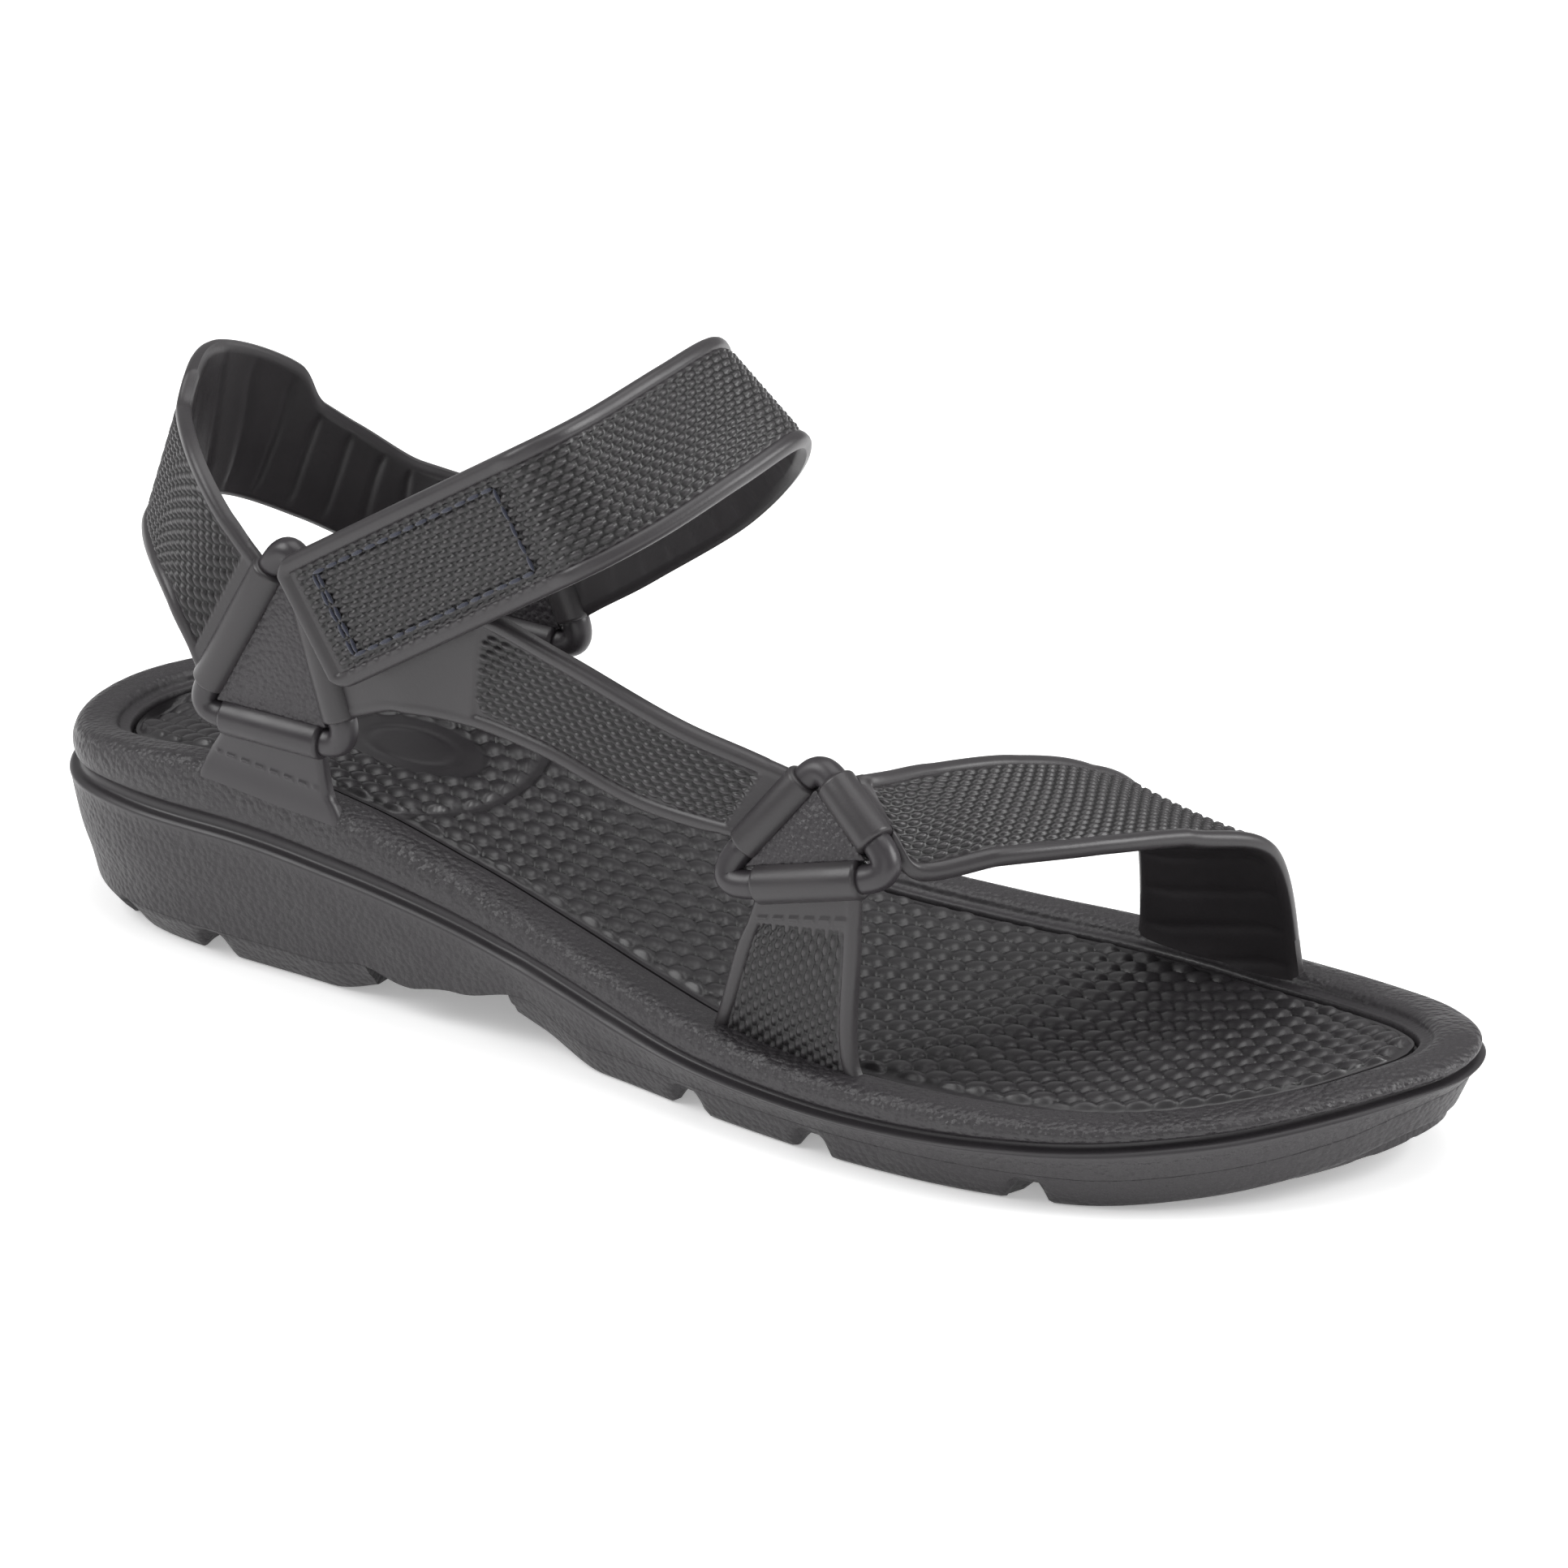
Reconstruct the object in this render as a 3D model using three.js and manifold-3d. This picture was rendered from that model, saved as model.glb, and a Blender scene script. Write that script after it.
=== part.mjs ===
// Strappy sport sandal for the right foot. Millimetres, +X towards the toe, +Y towards the inner
// side of the foot, +Z up. Shapes are laid out from the back of the heel at X = 0 and the finished
// group is then centred on the ground under the middle of the shoe.
import * as THREE from "three";
import { mergeVertices } from "three/addons/utils/BufferGeometryUtils.js";
import { ConvexGeometry } from "three/addons/geometries/ConvexGeometry.js";
import Module from "manifold-3d";

const wasm = await Module();
wasm.setup();

const v3 = (x, y, z) => new THREE.Vector3(x, y, z);

// ---- driving dimensions -------------------------------------------------------------------
const soleLength = 290;
const soleWidth = 98; // across the ball of the foot
const treadThickness = 6.5;
const archTaper = 0.06; // share of the length over which a tread runs out at the arch
const heelTreadEnd = 0.27; // shares of the length where the treads end at the arch
const forefootTreadStart = 0.42;
const heelTreadTip = (heelTreadEnd + 0.3 * archTaper) * soleLength;
const forefootTreadTip = (forefootTreadStart - 0.3 * archTaper) * soleLength;
const rimWidth = 11; // from the outer edge of the sole to the footbed
const rimRound = 2.2;
const grooveDepth = 1.4;
const grooveHalfHeight = 1.6;
const sideBulge = 0.6; // how far the side swells past the rim
const groundInset = 6.5; // how far the sole's edge tucks in at the ground
const footbedThickness = 3.2;
const footbedDrop = 2.6; // footbed edge below the rim
const heelCupSag = 2.2;
const gap = 0.3; // between pieces that are bonded or rest on each other

const notch = { depth: 3.6, floor: 4, mouth: 8 };
const heelNotches = [22, 46]; // distances from the back of the heel
const forefootNotches = [158, 187, 231];

const barRadius = 1.8; // round bars of the triangular links
const cornerThickness = 2.9; // radius of the link's wire where it shows at the corners
const plateThickness = 3;
const barClearance = 0.35;
const loopWall = 2;
const strapThickness = 2.6;
const edgeChamfer = 0.8;

const rearLinks = {
  halfSpacing: 36, // from the middle of the shoe to the plane of either link
  outer: { top: [70, 92], rear: [47.5, 52.5], front: [82, 52] }, // along and height
  inner: { top: [72, 83], rear: [51.5, 48.5], front: [86, 48] },
};
const frontLink = {
  top: { along: 182.8, out: -34.8, height: 71.2 },
  rear: { along: 163.5, out: -42, height: 45.5 },
  front: { along: 203.2, out: -41, height: 56.1 },
};
const rearTab = { width: 26, foot: { along: 63, inset: 4.5, depth: 5 } };
const frontTab = { width: 33, foot: { along: 180, inset: 8.5, depth: 5 } };
const heelStrap = { width: 26, fold: { along: 44, outerHeight: 83, innerHeight: 71, radius: 16 } };
const ankleStrap = { width: 26.5 };
const connector = { width: 20.5 };
const toeStrap = { crownWidth: 29, footWidth: 35, along: 223, inset: 8.5, depth: 5 };
const hookPad = { length: 49, width: 19, thickness: 1 };
const loopPad = { length: 45, width: 18, thickness: 1.2 };
const thread = { radius: 0.4, inset: 1.6 };

// Plan outline: [share of the length, share of half the width], outer side first.
const outlineShares = [
  [0, 0], [0.012, -0.32], [0.045, -0.56], [0.103, -0.7], [0.24, -0.745], [0.386, -0.78],
  [0.483, -0.86],  [0.58, -0.96], [0.676, -1.01], [0.766, -0.97], [0.848, -0.82], [0.917, -0.55], [0.969, -0.2],
  [0.997, 0.16], [0.99, 0.43], [0.952, 0.67], [0.886, 0.85], [0.8, 0.95], [0.71, 0.98],
  [0.62, 0.93], [0.524, 0.81], [0.42, 0.705], [0.317, 0.685], [0.172, 0.71], [0.052, 0.54],
  [0.012, 0.3],
];

// Heights in mm over the share of the length.
const rimHeight = smoothCurve([
  [0, 35.5], [0.08, 38.5], [0.165, 41], [0.27, 38], [0.35, 32.5], [0.43, 26.5],
  [0.545, 19.5], [0.66, 17], [0.8, 17], [0.88, 18.2], [0.95, 20.8], [1, 22.8],
]);
const grooveHeight = smoothCurve([
  [0, 28.5], [0.09, 29.5], [0.165, 29.5], [0.27, 27.3], [0.35, 24], [0.45, 18.3],
  [0.545, 12.6], [0.66, 11], [0.8, 12.8], [0.9, 16], [1, 20],
]);
const groundHeight = smoothCurve([
  [0, 3.5], [0.04, 0.8], [0.07, 0], [0.25, 0], [0.3, 4], [0.36, 8], [0.42, 4.5],
  [0.47, 0], [0.82, 0], [0.9, 2.2], [0.96, 6], [1, 10],
]);
const heelTuck = smoothCurve([
  [0, 1.6], [0.08, 1.25], [0.2, 1], [0.6, 0.75], [0.85, 0.75], [1, 0.7],
]);

const stations = 30; // along each side of the sole
const acrossSteps = 6;

// ---- curves and lofts ---------------------------------------------------------------------

// A smooth function through [place, value] pairs, with no overshoot between equal values.
function smoothCurve(points) {
  const slope = (i) => {
    const before = points[Math.max(i - 1, 0)];
    const after = points[Math.min(i + 1, points.length - 1)];
    const left = (points[i][1] - before[1]) * (after[1] - points[i][1]);
    return left <= 0 ? 0 : (after[1] - before[1]) / (after[0] - before[0]);
  };
  return (place) => {
    const p = Math.min(Math.max(place, points[0][0]), points.at(-1)[0]);
    const found = points.findIndex((q) => q[0] >= p);
    const i = Math.max(found, 1);
    const [x0, y0] = points[i - 1];
    const [x1, y1] = points[i];
    const span = x1 - x0;
    const t = (p - x0) / span;
    const t2 = t * t;
    const t3 = t2 * t;
    return (2 * t3 - 3 * t2 + 1) * y0 + (t3 - 2 * t2 + t) * span * slope(i - 1)
      + (3 * t2 - 2 * t3) * y1 + (t3 - t2) * span * slope(i);
  };
}

// The sole's plan as one ring of stations: heel, outer side, toe, then back along the inner side.
function planRing() {
  const corners = outlineShares.map(
    ([along, across]) => v3(along * soleLength, (across * soleWidth) / 2, 0),
  );
  const dense = new THREE.CatmullRomCurve3(corners, true, "centripetal").getPoints(600);
  dense.pop();
  const heel = dense.reduce((best, p, i) => (p.x < dense[best].x ? i : best), 0);
  const toe = dense.reduce((best, p, i) => (p.x > dense[best].x ? i : best), 0);
  const count = dense.length;
  const branch = (from, steps, direction) =>
    Array.from({ length: steps + 1 }, (_, i) => dense[(from + direction * i + count * 2) % count]);
  const outer = branch(heel, (toe - heel + count) % count, 1);
  const inner = branch(heel, (heel - toe + count) % count, -1);
  const at = (side, x) => {
    const i = Math.max(side.findIndex((p) => p.x >= x), 1);
    const t = (x - side[i - 1].x) / (side[i].x - side[i - 1].x);
    return side[i - 1].clone().lerp(side[i], t);
  };
  const x0 = dense[heel].x;
  const x1 = dense[toe].x;
  const place = (k) => x0 + ((x1 - x0) * (1 - Math.cos((Math.PI * k) / stations))) / 2;
  const ring = [dense[heel].clone()];
  for (let k = 1; k < stations; k++) ring.push(at(outer, place(k)));
  ring.push(dense[toe].clone());
  for (let k = stations - 1; k > 0; k--) ring.push(at(inner, place(k)));
  return ring;
}

const plan = planRing();
const shareOf = (p) => Math.min(Math.max(p.x / soleLength, 0), 1);

// The plan moved inwards by a distance and lifted to a height, both functions of the share.
function soleRing(inset, height) {
  return plan.map((p, i) => {
    const before = plan[(i - 1 + plan.length) % plan.length];
    const after = plan[(i + 1) % plan.length];
    const inward = v3(before.y - after.y, after.x - before.x, 0).normalize();
    const share = shareOf(p);
    const q = p.clone().addScaledVector(inward, inset(share));
    q.z = height(share);
    return q;
  });
}

// A point of the sole's edge at a distance from the heel, on side -1 (outer) or 1 (inner).
function edgeAt(along, side, inset = 0) {
  const ring = soleRing(() => inset, () => 0);
  const half = side < 0 ? ring.slice(0, stations + 1) : [ring[0], ...ring.slice(stations).reverse()];
  const i = Math.max(half.findIndex((p) => p.x >= along), 1);
  const t = (along - half[i - 1].x) / (half[i].x - half[i - 1].x);
  return half[i - 1].clone().lerp(half[i], t);
}

function geometryOf(points, faces) {
  const geometry = new THREE.BufferGeometry().setFromPoints(points);
  geometry.setIndex(faces.flat());
  return geometry;
}

// Side faces between rings that turn counter-clockwise seen from above, listed from the bottom up.
function wallFaces(ringCount, size) {
  const faces = [];
  for (let r = 0; r + 1 < ringCount; r++) {
    for (let i = 0; i < size; i++) {
      const a = r * size + i;
      const b = r * size + ((i + 1) % size);
      faces.push([a, b, b + size], [a, b + size, a + size]);
    }
  }
  return faces;
}

// A solid from stacked sole rings, closed below and above by strips from side to side; bow lifts
// the middle of a closing face by a height that depends on the share.
function stackSole(rings, bottomBow, topBow) {
  const points = rings.flat();
  const size = plan.length;
  const faces = wallFaces(rings.length, size);
  const close = (first, bow, up) => {
    const grid = [];
    for (let k = 0; k <= stations; k++) {
      const outer = first + k;
      const inner = first + ((size - k) % size);
      const row = [outer];
      for (let j = 1; j < acrossSteps && outer !== inner; j++) {
        const s = j / acrossSteps;
        const p = points[outer].clone().lerp(points[inner], s);
        p.z += bow(shareOf(p)) * (1 - (2 * s - 1) ** 2);
        row.push(points.length);
        points.push(p);
      }
      while (row.length <= acrossSteps) row.push(inner);
      grid.push(row);
    }
    for (let k = 0; k < stations; k++) {
      for (let j = 0; j < acrossSteps; j++) {
        const [a, b, c, d] = [grid[k][j], grid[k + 1][j], grid[k + 1][j + 1], grid[k][j + 1]];
        for (const face of [[a, b, c], [a, c, d]]) {
          if (new Set(face).size === 3) faces.push(up ? face : face.reverse());
        }
      }
    }
  };
  close(0, bottomBow, false);
  close((rings.length - 1) * size, topBow, true);
  return solidOf(geometryOf(points, faces));
}

// A closed geometry as a solid that can be joined and cut.
function solidOf(geometry) {
  const bare = geometry.clone();
  bare.deleteAttribute("normal");
  bare.deleteAttribute("uv");
  const merged = mergeVertices(bare, 1e-4);
  return new wasm.Manifold(new wasm.Mesh({
    numProp: 3,
    vertProperties: new Float32Array(merged.attributes.position.array),
    triVerts: new Uint32Array(merged.index.array),
  }));
}

function geometryFrom(solid) {
  const { vertProperties, triVerts } = solid.getMesh();
  const geometry = new THREE.BufferGeometry();
  geometry.setAttribute("position", new THREE.BufferAttribute(vertProperties, 3));
  geometry.setIndex(new THREE.BufferAttribute(triVerts, 1));
  const flat = geometry.toNonIndexed();
  flat.computeVertexNormals();
  return flat;
}

const largest = (solid) => solid.decompose().reduce((a, b) => (a.volume() > b.volume() ? a : b));

// A round bar from a to b, longer by `extra` at each end.
function barSolid(a, b, radius, extra = 0, sides = 16) {
  const axis = b.clone().sub(a);
  const bar = new THREE.CylinderGeometry(radius, radius, axis.length() + 2 * extra, sides);
  const turn = new THREE.Quaternion().setFromUnitVectors(v3(0, 1, 0), axis.clone().normalize());
  bar.applyQuaternion(turn);
  const middle = a.clone().lerp(b, 0.5);
  bar.translate(middle.x, middle.y, middle.z);
  return solidOf(bar);
}

// A flat strap swept through stations { at, across, width, along? }, with chamfered edges; `grow`
// swells it on every face, for cutting its seat.
function strapSolid(path, grow = 0) {
  const rings = path.map((s, i) => {
    const before = path[Math.max(i - 1, 0)].at;
    const after = path[Math.min(i + 1, path.length - 1)].at;
    const along = s.along ?? after.clone().sub(before).normalize();
    const across = s.across.clone().addScaledVector(along, -s.across.dot(along)).normalize();
    const out = along.clone().cross(across);
    const w = s.width / 2 + grow;
    const t = strapThickness / 2 + grow;
    const c = edgeChamfer;
    const section = [
      [-w + c, -t], [w - c, -t], [w, -t + c], [w, t - c],
      [w - c, t], [-w + c, t], [-w, t - c], [-w, -t + c],
    ];
    let shift = 0;
    if (i === 0) shift = -grow;
    if (i === path.length - 1) shift = grow;
    return section.map(([x, y]) => s.at.clone().addScaledVector(across, x)
      .addScaledVector(out, y).addScaledVector(along, shift));
  });
  const size = rings[0].length;
  const faces = wallFaces(rings.length, size);
  const last = (rings.length - 1) * size;
  for (let i = 1; i + 1 < size; i++) {
    faces.push([0, i + 1, i], [last, last + i, last + i + 1]);
  }
  return solidOf(geometryOf(rings.flat(), faces));
}

// A smooth path through hand-placed strap stations.
function strapPath(stops, steps) {
  const line = new THREE.CatmullRomCurve3(stops.map((s) => s.at), false, "centripetal");
  return Array.from({ length: steps + 1 }, (_, i) => {
    const t = (i / steps) * (stops.length - 1);
    const k = Math.min(Math.floor(t), stops.length - 2);
    const blend = THREE.MathUtils.smoothstep(t - k, 0, 1);
    const [a, b] = [stops[k], stops[k + 1]];
    return {
      at: line.getPoint(i / steps),
      across: a.across.clone().lerp(b.across, blend).normalize(),
      width: THREE.MathUtils.lerp(a.width, b.width, blend),
    };
  });
}

// ---- links and the loops that run round their bars ------------------------------------------

const loopInner = barRadius + barClearance;
const loopOuter = loopInner + loopWall;
const loopRoom = loopOuter + 0.35; // kept clear of the plate

// The stretch of bar between two of a link's corners that a loop wraps: as long as fits before
// the loops of neighbouring sides would meet.
function seatBetween(corners, i, j) {
  const k = 3 - i - j;
  const clearOf = (at, other) => {
    const toOther = corners[other].clone().sub(corners[at]);
    const angle = toOther.angleTo(corners[k].clone().sub(corners[at]));
    return loopOuter / Math.tan(angle / 2) + gap;
  };
  const along = corners[j].clone().sub(corners[i]).normalize();
  const from = corners[i].clone().addScaledVector(along, clearOf(i, j));
  const to = corners[j].clone().addScaledVector(along, -clearOf(j, i));
  return { from, to, along, middle: from.clone().lerp(to, 0.5), width: from.distanceTo(to) };
}

// A triangular link of round wire: thin under the loops, thicker round its bent corners; `grow`
// swells the wire, for cutting room for it.
function linkSolid({ corners, seats: named }, grow = 0) {
  const seats = Object.values(named);
  const centre = corners[0].clone().add(corners[1]).add(corners[2]).divideScalar(3);
  const normal = corners[1].clone().sub(corners[0]).cross(corners[2].clone().sub(corners[0]));
  normal.normalize();
  const sides = 10;
  const bendSteps = 5;
  const line = [];
  corners.forEach((corner, i) => {
    const ends = [corners[(i + 2) % 3], corners[(i + 1) % 3]];
    const [start, stop] = ends.map((other) => {
      const seat = seats.find((s) => onSeat(s, corner, other));
      const near = seat.from.distanceTo(corner) < seat.to.distanceTo(corner) ? seat.from : seat.to;
      return near.clone().lerp(corner, gap / near.distanceTo(corner));
    });
    const thin = (p, towards) => p.clone().lerp(towards, -gap / p.distanceTo(towards));
    line.push({ at: thin(start, corner), radius: barRadius });
    for (let n = 0; n <= bendSteps; n++) {
      const t = n / bendSteps;
      const at = start.clone().multiplyScalar((1 - t) ** 2)
        .addScaledVector(corner, 2 * t * (1 - t)).addScaledVector(stop, t * t);
      line.push({ at, radius: cornerThickness });
    }
    line.push({ at: thin(stop, corner), radius: barRadius });
  });
  const points = line.flatMap(({ at, radius }, i) => {
    const before = line[(i - 1 + line.length) % line.length].at;
    const after = line[(i + 1) % line.length].at;
    const outward = after.clone().sub(before).normalize().cross(normal);
    if (outward.dot(at.clone().sub(centre)) < 0) outward.negate();
    return Array.from({ length: sides }, (_, n) => {
      const turn = (2 * Math.PI * n) / sides;
      return at.clone().addScaledVector(outward, (radius + grow) * Math.cos(turn))
        .addScaledVector(normal, (radius + grow) * Math.sin(turn));
    });
  });
  const faces = [];
  line.forEach((_, i) => {
    const next = ((i + 1) % line.length) * sides;
    for (let n = 0; n < sides; n++) {
      const m = (n + 1) % sides;
      const [a, b, c, d] = [i * sides + n, next + n, next + m, i * sides + m];
      faces.push([a, b, c], [a, c, d]);
    }
  });
  const solid = solidOf(geometryOf(points, faces));
  return solid.volume() > 0 ? solid : solidOf(geometryOf(points, faces.map((f) => f.reverse())));
}

const onSeat = (seat, a, b) => {
  const along = b.clone().sub(a).normalize();
  const offset = seat.middle.clone().sub(a);
  return offset.addScaledVector(along, -offset.dot(along)).length() < 0.01;
};

// The plate that fills a link between its three loops.
function plateSolid({ corners, seats }) {
  const [a, b, c] = corners;
  const normal = b.clone().sub(a).cross(c.clone().sub(a)).normalize();
  const prism = corners.flatMap((p) => [-0.5, 0.5].map(
    (s) => p.clone().addScaledVector(normal, s * plateThickness),
  ));
  let plate = solidOf(new ConvexGeometry(prism));
  for (const seat of Object.values(seats)) {
    plate = plate.subtract(barSolid(seat.from, seat.to, loopRoom, loopRoom, 20));
  }
  return largest(plate);
}

// A strap's solid with a loop round the bar of each seat that it runs to.
function withLoops(solid, ...ends) {
  return ends.reduce((strap, { link, seat }) => strap
    .add(barSolid(seat.from, seat.to, loopOuter, 0, 20))
    .subtract(barSolid(seat.from, seat.to, loopInner, 2, 20))
    .subtract(linkSolid(link, gap)), solid);
}

// The first station of a strap that leaves a seat in a given direction.
const leave = (seat, direction, reach) => ({
  at: seat.middle.clone().addScaledVector(direction.clone().normalize(), reach),
  across: seat.along.clone(),
  width: seat.width,
});

function rearCorners(side) {
  const { top, rear, front } = side < 0 ? rearLinks.outer : rearLinks.inner;
  return [top, rear, front].map(
    ([along, height]) => v3(along, side * rearLinks.halfSpacing, height),
  );
}

// The loops' seats on a link whose corners are listed as top, rear and front.
const seatsOf = (corners) => ({
  back: seatBetween(corners, 0, 1),
  below: seatBetween(corners, 1, 2),
  fore: seatBetween(corners, 0, 2),
});

const linkOf = (corners) => ({ corners, seats: seatsOf(corners) });
const outerRear = linkOf(rearCorners(-1));
const innerRear = linkOf(rearCorners(1));
const front = linkOf([frontLink.top, frontLink.rear, frontLink.front].map(
  (corner) => v3(corner.along, corner.out, corner.height),
));
const endOn = (link, side) => ({ link, seat: link.seats[side] });

// A tab from a link's lower bar down into the sole's rim.
function tabStops(seat, side, tab) {
  const foot = edgeAt(tab.foot.along, side, tab.foot.inset);
  const sill = rimHeight(tab.foot.along / soleLength);
  const slopeSpan = 5; // either side of the foot's middle
  const rimAt = (reach) => rimHeight((tab.foot.along + reach) / soleLength);
  const rise = rimAt(slopeSpan) - rimAt(-slopeSpan);
  const near = edgeAt(tab.foot.along + slopeSpan, side, tab.foot.inset);
  const far = edgeAt(tab.foot.along - slopeSpan, side, tab.foot.inset);
  const along = near.sub(far).normalize().setZ(rise / (2 * slopeSpan)).normalize();
  foot.z = sill - tab.foot.depth;
  const lip = foot.clone().setZ(sill + 2);
  const footDirection = foot.clone().sub(seat.middle);
  const start = leave(seat, footDirection, loopOuter - loopWall / 2);
  if (start.across.x < 0) start.across.negate();
  return [
    start,
    { at: lip, across: along, width: tab.width },
    { at: foot, across: along, width: tab.width },
  ];
}

// ---- pieces ---------------------------------------------------------------------------------

const feet = []; // straps let into the rim, kept to cut their seats
const tread = (share) => {
  const heel = THREE.MathUtils.smoothstep(heelTreadEnd + archTaper - share, 0, archTaper);
  const fore = THREE.MathUtils.smoothstep(share - forefootTreadStart + archTaper, 0, archTaper);
  return treadThickness * Math.min(heel + fore, 1);
};
const bondHeight = (share) => groundHeight(share) + tread(share);
const bondInset = (share) => groundInset * heelTuck(share) * 0.42;

function midsole() {
  const inset = (value) => () => value;
  const seatHeight = (share) => footbedSeat(share);
  const rings = [
    soleRing((s) => bondInset(s), bondHeight),
    soleRing((s) => bondInset(s) * 0.45, (s) => (bondHeight(s) * 2 + grooveHeight(s)) / 3),
    soleRing(inset(0), (s) => grooveHeight(s) - 2 * grooveHalfHeight),
    soleRing(inset(0), (s) => grooveHeight(s) - grooveHalfHeight),
    soleRing(inset(grooveDepth), (s) => grooveHeight(s) - grooveHalfHeight / 3),
    soleRing(inset(grooveDepth), (s) => grooveHeight(s) + grooveHalfHeight / 3),
    soleRing(inset(sideBulge), (s) => grooveHeight(s) + grooveHalfHeight),
    soleRing(inset(sideBulge + rimRound / 3), (s) => rimHeight(s) - rimRound * 0.8),
    soleRing(inset(sideBulge + rimRound), rimHeight),
    soleRing(inset(rimWidth - rimRound), (s) => rimHeight(s) - 0.4),
    soleRing(inset(rimWidth), (s) => rimHeight(s) - footbedDrop),
    soleRing(inset(rimWidth), seatHeight),
  ];
  const arch = (share) => (tread(share) < treadThickness ? 0.5 : 0);
  let solid = stackSole(rings, arch, (s) => -cupSag(s));
  for (const foot of feet) solid = solid.subtract(foot);
  return solid;
}

const cupSag = (share) => heelCupSag * THREE.MathUtils.smoothstep(0.5 - share, 0, 0.3);
const footbedSeat = (share) => rimHeight(share) - footbedDrop - footbedThickness;

function footbed() {
  const edge = rimWidth + gap;
  const rings = [
    soleRing(() => edge, (s) => footbedSeat(s) + gap),
    soleRing(() => edge, (s) => rimHeight(s) - footbedDrop - 1),
    soleRing(() => edge + 1, (s) => rimHeight(s) - footbedDrop),
  ];
  return stackSole(rings, (s) => -cupSag(s), (s) => -cupSag(s));
}

// The layer under the midsole, before it is cut into its two treads.
function treadLayer() {
  const top = (s) => bondHeight(s) - gap;
  const rings = [
    soleRing((s) => groundInset * heelTuck(s), groundHeight),
    soleRing(
      (s) => groundInset * heelTuck(s) * 0.7,
      (s) => Math.min(groundHeight(s) + 1.2, top(s) - 0.1),
    ),
    soleRing((s) => bondInset(s), (s) => Math.max(top(s), groundHeight(s) + 1.4)),
  ];
  return stackSole(rings, () => 0, () => 0);
}

function boxBetween(x0, x1) {
  const box = new THREE.BoxGeometry(x1 - x0, 2 * soleWidth, 100);
  box.translate((x0 + x1) / 2, 0, 0);
  return solidOf(box);
}

// A channel across the tread, open at the ground, wider at its mouth.
function notchSolid(along) {
  const across = soleWidth;
  const ground = groundHeight(along / soleLength);
  const corners = [-across, across].flatMap((y) => [
    v3(along - notch.mouth / 2, y, ground - 1),
    v3(along + notch.mouth / 2, y, ground - 1),
    v3(along - notch.floor / 2, y, ground + notch.depth),
    v3(along + notch.floor / 2, y, ground + notch.depth),
  ]);
  return solidOf(new ConvexGeometry(corners));
}

function treadPiece(x0, x1, notches) {
  let solid = treadLayer().intersect(boxBetween(x0, x1));
  for (const along of notches) solid = solid.subtract(notchSolid(along));
  return solid;
}

function tabPiece(link, side, tab) {
  const stops = tabStops(link.seats.below, side, tab);
  const path = strapPath(stops, 6);
  feet.push(strapSolid(path, gap));
  return withLoops(strapSolid(path), endOn(link, "below"));
}

// ---- heel strap -----------------------------------------------------------------------------

const heelStrapEnd = (side) => endOn(side < 0 ? outerRear : innerRear, "back");

function heelStrapPath() {
  const { width } = heelStrap;
  const leaving = (side) => {
    const { seat } = heelStrapEnd(side);
    const back = v3(-seat.along.z, 0, seat.along.x);
    if (back.x > 0) back.negate();
    return leave(seat, back, loopOuter - loopWall / 2);
  };
  const upright = (start) => {
    if (start.across.z < 0) start.across.negate();
    return start;
  };
  return strapPath([
    upright(leaving(-1)),
    { at: v3(48, -33.8, 84.5), across: v3(0.42, 0, 0.91), width: width + 2 },
    { at: v3(37.5, -25.5, 90), across: v3(0.4, -0.05, 0.92), width: width + 2 },
    { at: v3(26, -13, 91), across: v3(0.35, -0.05, 0.93), width: width + 4.5 },
    { at: v3(21.5, 0, 92.5), across: v3(0.28, 0, 0.96), width: width + 8.5 },
    { at: v3(25, 13, 88.5), across: v3(0.35, 0.05, 0.93), width: width + 4.5 },
    { at: v3(35, 25, 79.5), across: v3(0.42, 0.05, 0.9), width: width + 1 },
    { at: v3(46, 33, 70.5), across: v3(0.5, 0, 0.86), width },
    upright(leaving(1)),
  ], 32);
}

// The heel strap in three: an end on each rear link, and the part behind that folds down.
function heelStrapPieces() {
  const { along, outerHeight, innerHeight, radius } = heelStrap.fold;
  const whole = withLoops(strapSolid(heelStrapPath()), heelStrapEnd(-1), heelStrapEnd(1));
  const pivot = (side) => v3(
    along, side * rearLinks.halfSpacing, side < 0 ? outerHeight : innerHeight,
  );
  const round = (r) => barSolid(pivot(-1), pivot(1), r, rearLinks.halfSpacing, 48);
  const foreOf = (room) => {
    const block = new THREE.BoxGeometry(soleWidth, 2 * soleWidth, 2 * soleWidth);
    block.translate(along - room + soleWidth / 2, 0, (outerHeight + innerHeight) / 2);
    return solidOf(block).add(round(radius + room));
  };
  const ends = whole.intersect(foreOf(0));
  const [outerEnd, innerEnd] = ends.decompose().sort(
    (a, b) => a.boundingBox().min[1] - b.boundingBox().min[1],
  );
  const middle = largest(whole.subtract(foreOf(gap)));
  return { outerEnd, innerEnd, middle };
}

// ---- straps over the foot ---------------------------------------------------------------------

const closure = { out: -43.2, front: v3(130.5, 0, 110), end: v3(77.5, 0, 77), padStart: 6 };
const closureAlong = closure.end.clone().sub(closure.front).normalize();
const closureAcross = v3(-closureAlong.z, 0, closureAlong.x);
if (closureAcross.x < 0) closureAcross.negate();

const onClosure = (reach, out) => closure.front.clone()
  .addScaledVector(closureAlong, reach).setY(out);

const apexStop = 4;
const ankleStepsPerStop = 4;

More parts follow.
